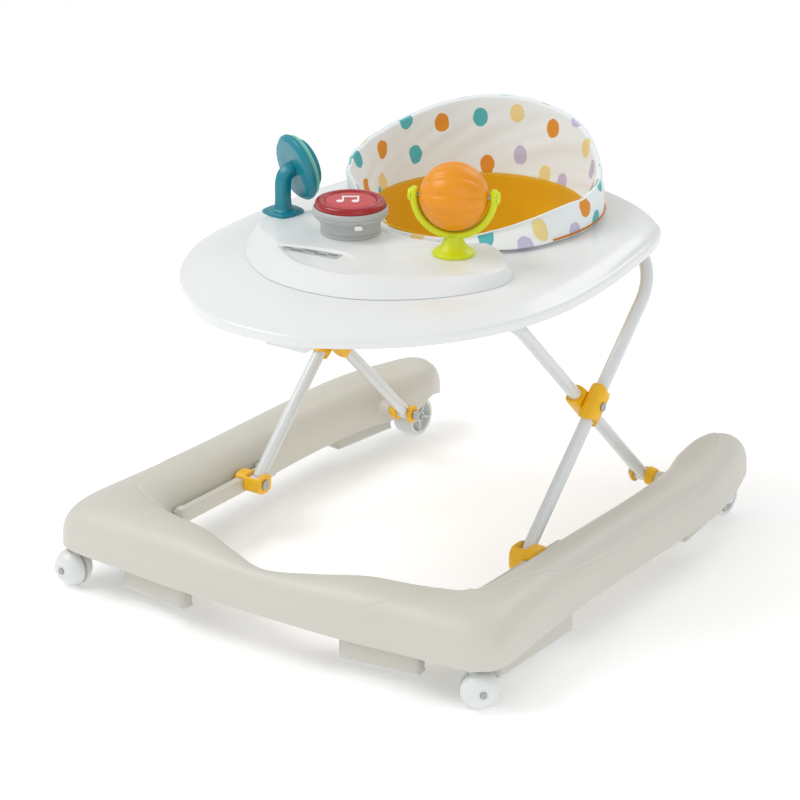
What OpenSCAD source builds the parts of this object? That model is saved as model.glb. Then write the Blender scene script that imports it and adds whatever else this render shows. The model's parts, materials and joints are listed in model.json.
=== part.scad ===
// Baby walker: U-shaped wheeled base, scissor frame of steel tube, play tray with toys and a sling seat.
// Millimetres. The floor is z = 0, the front of the walker faces -Y and x = 0 is its plane of symmetry.

/* [Base] */
// Width of the base across the straight part of its arms
base_w = 600; // [560:10:720]
// Length of the base from the front bar to the arm ends
base_l = 710; // [660:10:800]
// Height of the lower edge of the base above the floor
base_z = 50; // [48:1:56]
// Height of the arms from the lower edge to the crown
base_h = 60; // [54:1:70]

/* [Folding frame] */
// Outside diameter of the frame tubes
tube_d = 16; // [14:0.5:17]
// Half of the distance between the lower pivots
half_span = 149; // [135:1:160]
// Height of the leg crossing above the lower pivots
half_rise = 145; // [125:1:174]

/* [Tray] */
// Width of the tray
tray_w = 486; // [440:2:540]
// Length of the tray
tray_l = 639; // [600:3:700]

/* [Seat] */
// Outside radius of the seat ring
seat_r = 150; // [135:1:156]
// Height of the seat back above the tray
back_h = 100; // [70:1:140]

/* [Wheels] */
// Diameter of the rear wheels
wheel_d = 50; // [44:1:50]
// Diameter of the front ball castors
castor_d = 46; // [40:1:46]

/* [Toys] */
// Diameter of the rolling ball
ball_d = 80; // [60:1:90]
// Diameter of the push button
button_d = 84; // [60:1:90]
// Diameter of the spinning disc
disc_d = 83; // [60:1:92]

/* [Hidden] */
$fn = 48;
// Clearances shared by the parts that fit together
run_fit = 0.05;
gap = 0.3;
skin_t = 3;
// Scale of the outlines against the sizes they were laid out at
kx = base_w / 600;
ky = base_l / 710;
tx = tray_w / 486;
ty = tray_l / 639;
// Scissor geometry
cross_y = 65;
pivot_z = 72;
pivot_y = cross_y + half_span;
slide_y = cross_y - half_span;
leg_half = sqrt(half_span * half_span + half_rise * half_rise);
leg_a = atan2(half_rise, half_span);
tube_len = 2 * leg_half + 20;
top_z = pivot_z + tube_len * sin(leg_a);
bar_y = pivot_y - tube_len * cos(leg_a);
stub_y = slide_y + tube_len * cos(leg_a);
low_a = 13.7;
bar_travel = (2 * tube_len - 2 * leg_half) * (cos(low_a) - cos(leg_a));
// Sideways stations of the tubes, the rails and the arms' inner edges
arm_in = base_w / 2 - 72;
tube_a_x = arm_in - 48;
tube_b_x = tube_a_x + tube_d + 2;
tube_w = 1.5;
pin_r = 4;
rail_in = tube_b_x + tube_d / 2 + 3;
rail_w = 10;
rail_z0 = 60;
rail_h = 18;
bend_a = 50;
bend_b = 84;
stub_end = 90;
// Heights of the tray
tray_z = top_z + 10;
deck_z = tray_z + 26;
console_h = 16;
toy_z = deck_z + console_h + 0.2;
seat_y = 110;
hole_r = seat_r - 10;
// Wheel stations
wheel_r = wheel_d / 2;
wheel_y = 310 * ky;
wheel_x0 = 221 * kx;
wheel_w = 28;
castor_r = castor_d / 2;
castor_x = 285.5 * kx;
castor_y = -325 * ky;
castor_trail = 8;
stem_r = 4.5;
web_t = 4;
web_gap = 0.6;
castor_z = sqrt(castor_r * castor_r - (web_t / 2 + web_gap) * (web_t / 2 + web_gap));
castor_turn_r = 48;
castor_turn_l = 174;

// Which piece to build

// ---------- curves and skins ----------

// Smooth curve through four neighbouring stations
function smooth(a, b, c, d, t) =
  0.5 * (2 * b + (c - a) * t + (2 * a - 5 * b + 4 * c - d) * t * t + (3 * b - a - 3 * c + d) * t * t * t);

// Point at parameter s along an open list of stations
function along(p, s) =
  let (n = len(p) - 1, i = min(floor(s), n - 1))
  smooth(p[max(i - 1, 0)], p[i], p[i + 1], p[min(i + 2, n)], s - i);

// Point at parameter s along a closed list of stations
function around(p, s) =
  let (n = len(p), i = floor(s))
  smooth(p[(i - 1 + n) % n], p[i % n], p[(i + 1) % n], p[(i + 2) % n], s - i);

// Triangles between matching rings of n points, and end caps on an open skin
function wall_faces(count, n, loop) = [
  for (k = [0 : count - (loop ? 1 : 2)], j = [0 : n - 1], h = [0, 1])
    let (a = k * n, b = ((k + 1) % count) * n, j1 = (j + 1) % n)
    h == 0 ? [a + j, b + j, b + j1] : [a + j, b + j1, a + j1]
];
function cap_faces(base, n, flip) = [
  for (j = [0 : n / 2 - 2], h = [0, 1])
    let (p = base + j, q = base + j + 1, r = base + n - 2 - j, s = base + n - 1 - j)
    h == 0 ? (flip ? [p, q, r] : [r, q, p]) : (flip ? [p, r, s] : [s, r, p])
];

module skin(rings, loop) {
  n = len(rings[0]);
  count = len(rings);
  pts = [for (ring = rings, p = ring) p];
  caps = loop ? [] : concat(cap_faces(0, n, true), cap_faces((count - 1) * n, n, false));
  polyhedron(points = pts, faces = concat(wall_faces(count, n, loop), caps), convexity = 6);
}

// ---------- base ----------

// Half of the base: outer edge x, y, inner edge x, y, crown height above the lower edge
base_half = [
  [0, -355, 0, -319, 49], [60, -354.6, 60, -296, 53], [125, -353, 118, -271, 60], [200, -347, 168, -257, 60],
  [262, -342, 200, -243, 60], [300, -333, 215, -229, 60], [316.4, -306, 224, -206, 60],
  [311, -235, 226, -130, 60], [302, -120, 227, -30, 60], [300, 60, 228, 80, 60], [299, 180, 224, 180, 60],
  [287, 255, 212, 255, 60],
  [270, 313, 204, 308, 57], [257, 343, 212, 341, 42], [243, 355, 226, 355, 14]
];
base_full = concat(
  [for (i = [len(base_half) - 1 : -1 : 1])
    [-base_half[i][0], base_half[i][1], -base_half[i][2], base_half[i][3], base_half[i][4]]],
  base_half
);
arch_n = 10;

// One closed arch section between an inner point a and an outer point b
function arch(a, b, top) =
  let (d = (b - a) / norm(b - a), k = base_h / 60)
  concat(
    [for (j = [0 : arch_n]) let (w = 180 * j / arch_n, p = a + (b - a) * (1 - cos(w)) / 2)
      [p[0], p[1], base_z + top * k * pow(abs(sin(w)), 0.62)]],
    [for (j = [arch_n : -1 : 0]) let (w = 180 * j / arch_n, e = min(skin_t, norm(b - a) / 4),
      p = a + d * e + (b - a - 2 * d * e) * (1 - cos(w)) / 2)
      [p[0], p[1], base_z + (top * k - e) * pow(abs(sin(w)), 0.62)]]
  );

module base_shell() {
  steps = 2;
  last = (len(base_full) - 1) * steps;
  rings = [for (i = [0 : last]) let (q = along(base_full, i / steps))
    arch([q[2] * kx, q[3] * ky], [q[0] * kx, q[1] * ky], q[4])];
  color([0.82, 0.82, 0.79]) skin(rings, false);
}

// Rail bar beside each arm, with the front stop and the rear lug that meets the arm
module rail(side) {
  front = -222;
  color([0.82, 0.82, 0.79]) mirror([side < 0 ? 1 : 0, 0, 0]) {
    translate([rail_in, front, rail_z0]) cube([rail_w, -28 - front, rail_h]);
    translate([rail_in - 4, front, rail_z0 - 4]) cube([rail_w + 1, 12, rail_h + 8]);
    translate([rail_in, -50, rail_z0]) cube([arm_in - 1.4 - rail_in, 22, rail_h]);
  }
}
module rail_l() rail(-1);
module rail_r() rail(1);

// Clevis on each arm that carries the rear end of the front frame
module pivot_bracket(side) {
  half = tube_d / 2 + 0.6;
  outer = arm_in - 11.4;
  color([0.95, 0.70, 0.10]) mirror([side < 0 ? 1 : 0, 0, 0]) difference() {
    union() {
      translate([tube_a_x - half - 6, pivot_y, pivot_z]) rotate([0, 90, 0])
        cylinder(r = 15, h = outer - tube_a_x + half + 6);
      translate([tube_a_x - half - 6, pivot_y, pivot_z - 15]) cube([outer - tube_a_x + half + 6, 20, 22]);
    }
    translate([tube_a_x - half, pivot_y - 30, pivot_z - 30]) cube([2 * half, 30 + tube_d / 2 + 2, 60]);
    translate([tube_a_x - 30, pivot_y, pivot_z]) rotate([0, 90, 0]) cylinder(r = pin_r, h = 50);
  }
}
module pivot_bracket_l() pivot_bracket(-1);
module pivot_bracket_r() pivot_bracket(1);

module pivot_pin(side) {
  head = tube_a_x - tube_d / 2 - 9;
  mirror([side < 0 ? 1 : 0, 0, 0]) translate([head, pivot_y, pivot_z]) rotate([0, 90, 0]) {
    cylinder(r = pin_r, h = 29);
    difference() {
      cylinder(r = 6.5, h = 2.35);
      translate([0, 0, -1]) cylinder(r = 2.4, h = 2.2, $fn = 6);
    }
  }
}
module pivot_pins() {
  color([0.62, 0.62, 0.64]) {
    pivot_pin(-1);
    pivot_pin(1);
  }
}

// ---------- stop pads ----------

pad_z0 = 18;
pad_z1 = 21.5;
pad_front = [162 * kx, -325 * ky, 8.5, 104];
pad_mid = [282 * kx, -202 * ky, 90, 160];
pad_rear = [256 * kx, 218 * ky, 97, 106];

// Local frame of one pad: the pad runs along its own x axis, its visible face looks along its own -y
module pad_at(pad, side) {
  mirror([side < 0 ? 1 : 0, 0, 0]) translate([pad[0], pad[1], 0]) rotate([0, 0, pad[2]]) children();
}
module pad_body(pad, side) {
  long = pad[3];
  color([0.80, 0.79, 0.75]) pad_at(pad, side) difference() {
    translate([-long / 2, -11, pad_z1]) cube([long, 22, base_z - 0.2 - pad_z1]);
    translate([-long / 2 - 1, -4 - 0.1, pad_z1 - 1]) cube([long + 2, 8.2, 7]);
    for (x = [-long / 4, long / 4])
      translate([x, -11.5, (pad_z1 + base_z) / 2 + 3]) rotate([-90, 0, 0]) cylinder(r = 4.5, h = 4.5);
  }
}
module pad_strip(pad, side) {
  long = pad[3];
  pad_at(pad, side) {
    translate([-long / 2 + 1, -4, pad_z1]) cube([long - 2, 8, 5.8]);
    translate([-long / 2 + 1, -9, pad_z0]) cube([long - 2, 18, pad_z1 - pad_z0 - 0.1]);
    translate([-long / 2 + 1, -4, pad_z1 - 0.1]) cube([long - 2, 8, 0.1]);
  }
}
module pad_screw_pair(pad, side) {
  long = pad[3];
  pad_at(pad, side) for (x = [-long / 4, long / 4])
    translate([x, -9, (pad_z1 + base_z) / 2 + 3]) rotate([-90, 0, 0]) cylinder(r = 4, h = 1.9);
}
module pad_bracket_fl() pad_body(pad_front, -1);
module pad_bracket_fr() pad_body(pad_front, 1);
module pad_bracket_ml() pad_body(pad_mid, -1);
module pad_bracket_mr() pad_body(pad_mid, 1);
module pad_bracket_rl() pad_body(pad_rear, -1);
module pad_bracket_rr() pad_body(pad_rear, 1);
module pad_strips_front() {
  color([0.90, 0.90, 0.88]) for (side = [-1, 1]) pad_strip(pad_front, side);
}
module pad_strips_mid() {
  color([0.90, 0.90, 0.88]) for (side = [-1, 1]) pad_strip(pad_mid, side);
}
module pad_strips_rear() {
  color([0.90, 0.90, 0.88]) for (side = [-1, 1]) pad_strip(pad_rear, side);
}
module pad_screws() {
  color([0.62, 0.62, 0.64])
    for (pad = [pad_front, pad_mid, pad_rear], side = [-1, 1]) pad_screw_pair(pad, side);
}

// ---------- rear wheels ----------

module rear_fork(side) {
  out = wheel_x0 + wheel_w + 1;
  color([0.86, 0.86, 0.84]) mirror([side < 0 ? 1 : 0, 0, 0]) difference() {
    union() {
      translate([out, wheel_y, wheel_r]) rotate([0, 90, 0]) cylinder(r = 9, h = 4);
      translate([out, wheel_y - 9, wheel_r]) cube([4, 18, base_z + 8 - wheel_r]);
      translate([wheel_x0 + 4, wheel_y - 9, base_z + 4]) cube([wheel_w + 1, 18, 4]);
    }
    translate([out - 1, wheel_y, wheel_r]) rotate([0, 90, 0]) cylinder(r = 3, h = 6);
  }
}
module rear_fork_l() rear_fork(-1);
module rear_fork_r() rear_fork(1);
module rear_axles() {
  color([0.62, 0.62, 0.64]) for (side = [0, 1]) mirror([side, 0, 0])
    translate([wheel_x0 - 2, wheel_y, wheel_r]) rotate([0, 90, 0]) {
      cylinder(r = 3, h = wheel_w + 7);
      cylinder(r = 4.5, h = 1.7);
    }
}
module rear_wheel(side) {
  spokes = 5;
  color([0.88, 0.89, 0.88]) mirror([side < 0 ? 1 : 0, 0, 0]) translate([wheel_x0, wheel_y, wheel_r])
    rotate([0, 90, 0]) difference() {
      union() {
        difference() {
          cylinder(r = wheel_r, h = wheel_w);
          translate([0, 0, -1]) cylinder(r = wheel_r - 4.5, h = wheel_w + 2);
        }
        cylinder(r = 7, h = wheel_w);
        translate([0, 0, wheel_w / 2 - 2]) cylinder(r = wheel_r - 4, h = 4);
        for (i = [0 : spokes - 1]) rotate([0, 0, i * 360 / spokes])
          translate([5, -1.2, 2]) cube([wheel_r - 9, 2.4, wheel_w - 4]);
      }
      translate([0, 0, -1]) cylinder(r = 3 + run_fit, h = wheel_w + 2);
      for (i = [0 : spokes - 1]) rotate([0, 0, (i + 0.5) * 360 / spokes])
        translate([13, 0, -1]) cylinder(r = 2.6, h = wheel_w + 2);
    }
}
module rear_wheel_l() rear_wheel(-1);
module rear_wheel_r() rear_wheel(1);

// ---------- ball castors ----------

module castor_sockets() {
  up = base_z + 3;
  color([0.80, 0.79, 0.75]) for (side = [-1, 1]) translate([side * castor_x, castor_y, up]) difference() {
    cylinder(r = 7, h = 20.4);
    translate([0, 0, -1]) cylinder(r = stem_r + run_fit, h = 20);
  }
}
// Local frame of one castor: origin on the floor under the stem, wheel centre along +x, axle along y
module castor_at(side) {
  turn = side > 0 ? castor_turn_r : castor_turn_l;
  translate([side * castor_x, castor_y, 0]) rotate([0, 0, turn]) children();
}
module castor_yoke(side) {
  under = castor_z + castor_r + 0.6;
  color([0.88, 0.89, 0.88]) castor_at(side) difference() {
    union() {
      translate([0, 0, under]) cylinder(r = stem_r, h = base_z + 20 - under);
      translate([0, 0, under]) cylinder(r = 7.5, h = base_z - 0.5 - under);
      translate([castor_trail, web_t / 2, castor_z]) rotate([90, 0, 0]) cylinder(r = 8, h = web_t);
      translate([-4, -web_t / 2, castor_z]) cube([castor_trail + 6, web_t, under + 1 - castor_z]);
    }
    translate([castor_trail, 10, castor_z]) rotate([90, 0, 0]) cylinder(r = 2.5, h = 20);
  }
}
module castor_yoke_l() castor_yoke(-1);
module castor_yoke_r() castor_yoke(1);
module castor_wheel(side) {
  color([0.91, 0.92, 0.91]) castor_at(side) translate([castor_trail, 0, castor_z]) for (s = [0, 1])
    mirror([0, s, 0]) difference() {
      sphere(r = castor_r);
      translate([-40, -80 + web_t / 2 + web_gap, -40]) cube([80, 80, 80]);
      translate([-40, castor_r - 3, -40]) cube([80, 80, 80]);
      translate([0, -1, 0]) rotate([-90, 0, 0]) cylinder(r = 9, h = web_t / 2 + 2.2);
      rotate([-90, 0, 0]) cylinder(r = 2.5 + run_fit, h = 60);
    }
}
module castor_wheel_l() castor_wheel(-1);
module castor_wheel_r() castor_wheel(1);
module castor_axle(side) {
  inset = castor_r - 1;
  color([0.78, 0.80, 0.79]) castor_at(side) translate([castor_trail, inset, castor_z]) rotate([90, 0, 0]) {
    cylinder(r = 2.5, h = 2 * castor_r - 2);
    cylinder(r = 4, h = 1.8);
    translate([0, 0, 2 * castor_r - 3.8]) cylinder(r = 4, h = 1.8);
  }
}
module castor_axle_l() castor_axle(-1);
module castor_axle_r() castor_axle(1);

// ---------- folding frame ----------

// Straight tube from the origin along +y
module tube_y(long) {
  rotate([-90, 0, 0]) difference() {
    cylinder(d = tube_d, h = long);
    translate([0, 0, -1]) cylinder(d = tube_d - 2 * tube_w, h = long + 2);
  }
}
// Quarter bend from heading +y to heading -x, starting at the origin
module tube_bend(radius) {
  translate([-radius, 0, 0]) rotate_extrude(angle = 90) translate([radius, 0]) difference() {
    circle(d = tube_d);
    circle(d = tube_d - 2 * tube_w);
  }
}
// Solid eye at the lower end of a leg, with the pin hole through it
module eye_solid() {
  rotate([0, 90, 0]) cylinder(d = tube_d, h = tube_d - 0.2, center = true);
  rotate([-90, 0, 0]) cylinder(d = tube_d - 2 * tube_w - 0.01, h = 24);
}

// Half of the front frame in its own plane: eye at the origin, the leg runs along +y
module frame_half(x0, radius, to_x) {
  translate([0, 0, 0]) difference() {
    union() {
      translate([x0, 6, 0]) tube_y(tube_len - radius - 6);
      translate([x0, 0, 0]) eye_solid();
      translate([x0, tube_len - radius, 0]) tube_bend(radius);
      translate([to_x, tube_len, 0]) rotate([0, 0, -90]) tube_y(x0 - radius - to_x);
    }
    translate([x0 - 20, 0, 0]) rotate([0, 90, 0]) cylinder(r = pin_r + run_fit, h = 40);
    translate([x0 - 20, leg_half, 0]) rotate([0, 90, 0]) cylinder(r = 3 + run_fit, h = 40);
  }
}
// Leans a leg drawn along +y up to the leg angle; the front frame leans forward, the rear legs backward
module lean_front() {
  translate([0, pivot_y, pivot_z]) mirror([0, 1, 0]) rotate([leg_a, 0, 0]) children();
}
module lean_rear() {
  translate([0, slide_y, pivot_z]) rotate([leg_a, 0, 0]) children();
}
module front_frame() {
  color([0.86, 0.87, 0.87]) lean_front() {
    frame_half(tube_a_x, bend_a, 0);
    mirror([1, 0, 0]) frame_half(tube_a_x, bend_a, 0);
  }
}
module rear_leg(side) {
  color([0.86, 0.87, 0.87]) lean_rear() mirror([side < 0 ? 1 : 0, 0, 0])
    frame_half(tube_b_x, bend_b, stub_end);
}
module rear_leg_l() rear_leg(-1);
module rear_leg_r() rear_leg(1);

// Clips moulded around the tubes where they cross, one on each tube
module cross_clip(x0, from, to, holes) {
  difference() {
    translate([from, leg_half - 21, -12.5]) cube([to - from, 42, 25]);
    translate([x0, leg_half - 30, 0]) rotate([-90, 0, 0]) cylinder(d = tube_d + 0.1, h = 60);
    translate([from - 5, leg_half, 0]) rotate([0, 90, 0]) cylinder(r = 3 + holes, h = to - from + 10);
  }
}
module cross_block_inner(side) {
  color([0.95, 0.70, 0.10]) lean_front() mirror([side < 0 ? 1 : 0, 0, 0])
    cross_clip(tube_a_x, tube_a_x - tube_d / 2 - 4, tube_a_x + tube_d / 2 + 0.8, 0);
}
module cross_block_inner_l() cross_block_inner(-1);
module cross_block_inner_r() cross_block_inner(1);
module cross_block_outer(side) {
  color([0.95, 0.70, 0.10]) lean_rear() mirror([side < 0 ? 1 : 0, 0, 0])
    cross_clip(tube_b_x, tube_b_x - tube_d / 2 - 0.8, tube_b_x + tube_d / 2 + 4, run_fit);
}
module cross_block_outer_l() cross_block_outer(-1);
module cross_block_outer_r() cross_block_outer(1);
module cross_pins() {
  long = tube_b_x - tube_a_x + tube_d + 10;
  color([0.62, 0.62, 0.64]) for (side = [0, 1]) lean_front() mirror([side, 0, 0])
    translate([tube_a_x - tube_d / 2 - 5, leg_half, 0]) rotate([0, 90, 0]) {
      translate([0, 0, -0.8]) cylinder(r = 3, h = long + 1.6);
      translate([0, 0, -0.8]) cylinder(r = 5.5, h = 1.7);
      translate([0, 0, long - 0.9]) cylinder(r = 5.5, h = 1.7);
    }
}

// Shoes that carry the rear legs along the rails
module slider(side) {
  half = tube_d / 2 + 0.4;
  in = tube_b_x - half - 5;
  out = rail_in + rail_w + 2.4;
  color([0.95, 0.70, 0.10]) mirror([side < 0 ? 1 : 0, 0, 0]) difference() {
    union() {
      translate([in, slide_y - 18, pivot_z - 16]) cube([out - in, 36, 27]);
      translate([in, slide_y, pivot_z]) rotate([0, 90, 0]) cylinder(r = 14, h = 5);
    }
    translate([tube_b_x - half, slide_y - tube_d / 2 - 1.5, pivot_z - tube_d / 2 - 2.2])
      cube([2 * half, 60, 60]);
    translate([rail_in - 0.1, slide_y - 20, rail_z0 - 0.15]) cube([rail_w + 0.2, 40, rail_h + 0.3]);
    translate([in - 1, slide_y, pivot_z]) rotate([0, 90, 0]) cylinder(r = pin_r, h = rail_in - in + 0.5);
  }
}
module slider_l() slider(-1);
module slider_r() slider(1);
module slider_pins() {
  half = tube_d / 2 + 0.4;
  color([0.62, 0.62, 0.64]) for (side = [0, 1]) mirror([side, 0, 0])
    translate([tube_b_x - half - 7, slide_y, pivot_z]) rotate([0, 90, 0]) {
      cylinder(r = pin_r, h = 2 * half + 8.8);
      cylinder(r = 6.5, h = 1.9);
    }
}

// ---------- tray ----------

tray_half = [
  [0, -349], [50, -344], [98, -322], [148, -284], [184, -244], [212, -197], [233, -142], [243, -80],
  [243, -20], [237, 45], [227, 110], [216, 165], [197, 213], [160, 247], [118, 268], [68, 283], [0, 290]
];
tray_loop = concat(tray_half, [for (i = [len(tray_half) - 2 : -1 : 1]) [-tray_half[i][0], tray_half[i][1]]]);
// Across the rim: share of the way to the seat opening, offset inward, height above the skirt's edge
tray_cut = [
  [0, 0, 0], [0, 0, 9], [0, 1.6, 15], [0.05, 0, 19.5], [0.15, 0, 22.5], [0.3, 0, 25.5], [0.4, 0, 26],
  [1, 0, 26],
  [1, 0, 18], [1, -3, 18], [1, -3, 23], [0.4, 0, 23], [0.3, 0, 22.5], [0.15, 0, 19.5], [0.05, 1.5, 16.4],
  [0, 4.8, 13], [0, 3, 8], [0, 3, 0]
];
function tray_ring(q) =
  let (o = [q[0] * tx, q[1] * ty], w = atan2(o[1] - seat_y, o[0]),
    i = [hole_r * cos(w), seat_y + hole_r * sin(w)], u = (i - o) / norm(i - o))
  [for (c = tray_cut) let (p = o + (i - o) * c[0] + u * c[1]) [p[0], p[1], tray_z + c[2]]];

module tray_top() {
  steps = 2;
  count = len(tray_loop) * steps;
  rings = [for (k = [0 : count - 1]) tray_ring(around(tray_loop, k / steps))];
  color([0.93, 0.94, 0.94]) skin(rings, true);
}

// Raised play panel on the front of the tray; its rear edge follows the seat ring
console_half = [
  [0, -247], [50, -240], [98, -214], [142, -172], [170, -122], [173, -84], [154, -52], [118, -24]
];
function console_edge() =
  let (right = [for (k = [0 : 14]) let (q = along(console_half, k / 2)) [q[0] * tx, q[1]]],
    reach = asin(100 / (seat_r + 8)),
    rear = [for (k = [0 : 12]) let (w = reach - 2 * reach * k / 12)
      [(seat_r + 8) * sin(w), seat_y - (seat_r + 8) * cos(w)]],
    left = [for (k = [14 : -1 : 1]) [-right[k][0], right[k][1]]])
  concat(right, rear, left);
module play_console() {
  wall = 2.5;
  color([0.93, 0.94, 0.94]) translate([0, 0, deck_z + 0.2]) difference() {
    union() {
      linear_extrude(height = console_h - 4) polygon(console_edge());
      translate([0, 0, console_h - 4]) linear_extrude(height = 4)
        offset(delta = -3.5) polygon(console_edge());
    }
    translate([0, 0, -1]) linear_extrude(height = console_h - 3)
      offset(delta = -wall - 4) polygon(console_edge());
  }
}

// Height adjuster under the front of the tray; the frame's cross bar runs in its slot
adj_half = 28;
slot_r = tube_d / 2 + 0.15;
adj_front = -285 * ty;
module adjuster_housing() {
  rear = bar_y + slot_r + 8;
  low = top_z - 22;
  color([0.86, 0.87, 0.87]) difference() {
    translate([-adj_half, adj_front, low]) cube([2 * adj_half, rear - adj_front, deck_z - 3.6 - low - 3]);
    translate([-adj_half - 1, bar_y, top_z]) rotate([0, 90, 0]) cylinder(r = slot_r, h = 2 * adj_half + 2);
    translate([-adj_half - 1, bar_y - bar_travel - 0.5, top_z]) rotate([0, 90, 0])
      cylinder(r = slot_r, h = 2 * adj_half + 2);
    translate([-adj_half - 1, bar_y - bar_travel - 0.5, top_z - slot_r])
      cube([2 * adj_half + 2, bar_travel + 0.5, 2 * slot_r]);
    translate([-16, adj_front + 8, low - 1]) cube([32, 46, 12]);
    translate([-30, adj_front + 46, low + 5]) rotate([0, 90, 0]) cylinder(r = 2, h = 60);
  }
}
module release_lever() {
  low = top_z - 22;
  color([0.95, 0.70, 0.10]) difference() {
    union() {
      translate([-15.6, adj_front + 16, low + 2]) cube([31.2, 32, 6]);
      translate([-15.6, adj_front + 16, low - 5]) cube([31.2, 5, 8]);
      translate([-15.6, adj_front + 46, low + 5]) rotate([0, 90, 0]) cylinder(r = 4.5, h = 31.2);
    }
    translate([-20, adj_front + 46, low + 5]) rotate([0, 90, 0]) cylinder(r = 2 + run_fit, h = 40);
  }
}
module lever_pin() {
  color([0.62, 0.62, 0.64]) translate([-26, adj_front + 46, top_z - 17]) rotate([0, 90, 0])
    cylinder(r = 2, h = 52);
}

// Blocks under the rear of the tray that carry the turned-in ends of the rear legs
module rear_saddles() {
  wide = 17;
  half = 12;
  mid = stub_end + wide / 2 + 7;
  color([0.86, 0.87, 0.87]) for (side = [-1, 1]) translate([side * mid, stub_y, 0]) difference() {
    translate([-wide / 2, -half, top_z - 13]) cube([wide, 2 * half, deck_z - 3.4 - top_z + 13]);
    translate([-wide, 0, top_z]) rotate([0, 90, 0]) cylinder(r = tube_d / 2 + run_fit, h = 2 * wide);
  }
}

// ---------- seat ----------

module seat_ring() {
  color([0.93, 0.94, 0.94]) translate([0, seat_y, 0]) rotate_extrude($fn = 72) {
    polygon([
      [hole_r - 6, tray_z + 10], [hole_r - 1.2, tray_z + 10], [hole_r - 1.2, deck_z + gap],
      [seat_r, deck_z + gap], [seat_r, deck_z + 4], [hole_r - 6, deck_z + 4]
    ]);
  }
}

// Height of the fabric wall above the tray at angle w, where 90 degrees is the rear
wall_heights = [
  [-110, 14], [-72, 14], [-50, 19], [-33, 28], [-10, 38], [10, 43], [30, 51], [50, 67], [60, 79], [75, 91],
  [90, 98], [110, 101], [130, 98], [160, 83], [180, 73], [200, 65], [214, 60], [228, 38], [240, 20], [250, 14]
];
function wall_top(w) = max(14, lookup(w > 250 ? w - 360 : w, wall_heights) * back_h / 100);
module seat_back() {
  count = 48;
  z0 = deck_z + 4 + gap;
  rings = [for (k = [0 : count - 1])
    let (w = 360 * k / count, h = wall_top(w), lean = 2 + 4 * (1 - sin(w)), c = [0, seat_y])
    [for (p = [[0, 0], [0.4, h * 0.35], [-lean * 0.5, h * 0.75], [-lean, h - 3], [-lean - 3, h],
      [-lean - 9, h], [-lean - 12, h - 3], [-lean * 0.5 - 13, h * 0.75], [-12, h * 0.35], [-12, 0]])
      [(seat_r + p[0]) * cos(w), seat_y + (seat_r + p[0]) * sin(w), z0 + p[1]]]];
  color([0.94, 0.92, 0.88]) skin(rings, true);
}

// Sling below the ring, with a hole for each leg
module seat_pouch() {
  top = deck_z + 4;
  rim = hole_r - 6 - gap;
  leg_r = 46;
  color([0.86, 0.64, 0.06]) difference() {
    translate([0, seat_y, 0]) rotate_extrude($fn = 72) polygon([
      [rim, top], [rim, top - 30], [rim - 8, top - 60], [rim - 30, top - 95], [rim - 62, top - 128],
      [rim - 98, top - 146], [0, top - 150], [0, top - 147], [rim - 99, top - 143], [rim - 65, top - 125],
      [rim - 33, top - 93], [rim - 11, top - 59], [rim - 3, top - 29], [rim - 3, top]
    ]);
    for (side = [-1, 1]) translate([side * 58, seat_y - 50, top - 112])
      rotate([0, side * 62, 0]) rotate([0, 0, 0]) cylinder(r = leg_r, h = 160);
  }
}

// ---------- toys ----------

spin_x = -160;
spin_y = -72;
spin_axis = [0.40, 0.89, 0.23];
spin_up = 49;
spin_lean = acos(spin_axis[2] / norm(spin_axis));
spin_head = atan2(spin_axis[1], spin_axis[0]);
spin_neck = 13;
// Frame at the top of the post, with z along the disc's axis
module at_spinner() {
  translate([spin_x, spin_y, toy_z + spin_up]) rotate([0, spin_lean, spin_head]) children();
}
module spinner_post() {
  color([0.10, 0.50, 0.58]) {
    translate([spin_x, spin_y, toy_z]) {
      cylinder(r = 22, h = 3);
      cylinder(r = 13, h = 6);
      cylinder(r = 8.5, h = spin_up);
      translate([0, 0, spin_up]) sphere(r = 10);
    }
    at_spinner() cylinder(r = 7.5, h = spin_neck);
  }
}
module spinner_axle() {
  color([0.62, 0.62, 0.64]) at_spinner() {
    translate([0, 0, spin_neck]) cylinder(r = 2.5, h = 27);
    translate([0, 0, spin_neck + 25.2]) cylinder(r = 5, h = 2.6);
  }
}
module spinner_disc() {
  color([0.12, 0.52, 0.58]) at_spinner() translate([0, 0, spin_neck + 0.5]) difference() {
    union() {
      cylinder(r1 = disc_d / 2 - 5, r2 = disc_d / 2, h = 5);
      translate([0, 0, 5]) cylinder(r = disc_d / 2, h = 4);
    }
    translate([0, 0, -1]) cylinder(r = 2.5 + run_fit, h = 20);
  }
}
module spinner_face() {
  color([0.45, 0.80, 0.72]) at_spinner() translate([0, 0, spin_neck + 9.6]) difference() {
    union() {
      cylinder(r = disc_d / 2 - 3, h = 6);
      translate([0, 0, 6]) cylinder(r = disc_d / 2 - 15, h = 9);
    }
    translate([0, 0, -1]) cylinder(r = 2.5 + run_fit, h = 20);
  }
}

music_x = -52;
music_y = -84;
button_up = 30;
module music_housing() {
  r = button_d / 2;
  color([0.72, 0.73, 0.73]) translate([music_x, music_y, toy_z]) rotate_extrude($fn = 72) polygon([
    [0, 0], [r - 7.5, 0], [r - 7.5, 12], [r - 2, 17], [r + 2, 21], [r + 3, 26], [r + 2.5, 31], [r + 1, 33],
    [r + 0.4, 33], [r + 0.4, 25], [0, 25]
  ]);
}
module red_button() {
  r = button_d / 2;
  rim = [[0, 0], [r, 0], [r, 7], [r - 1.5, 9.5], [r - 5, 10.5], [r - 10, 9.5], [0, 9.5]];
  color([0.80, 0.14, 0.17]) translate([music_x, music_y, toy_z + button_up])
    rotate_extrude($fn = 72) polygon(rim);
}
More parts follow.
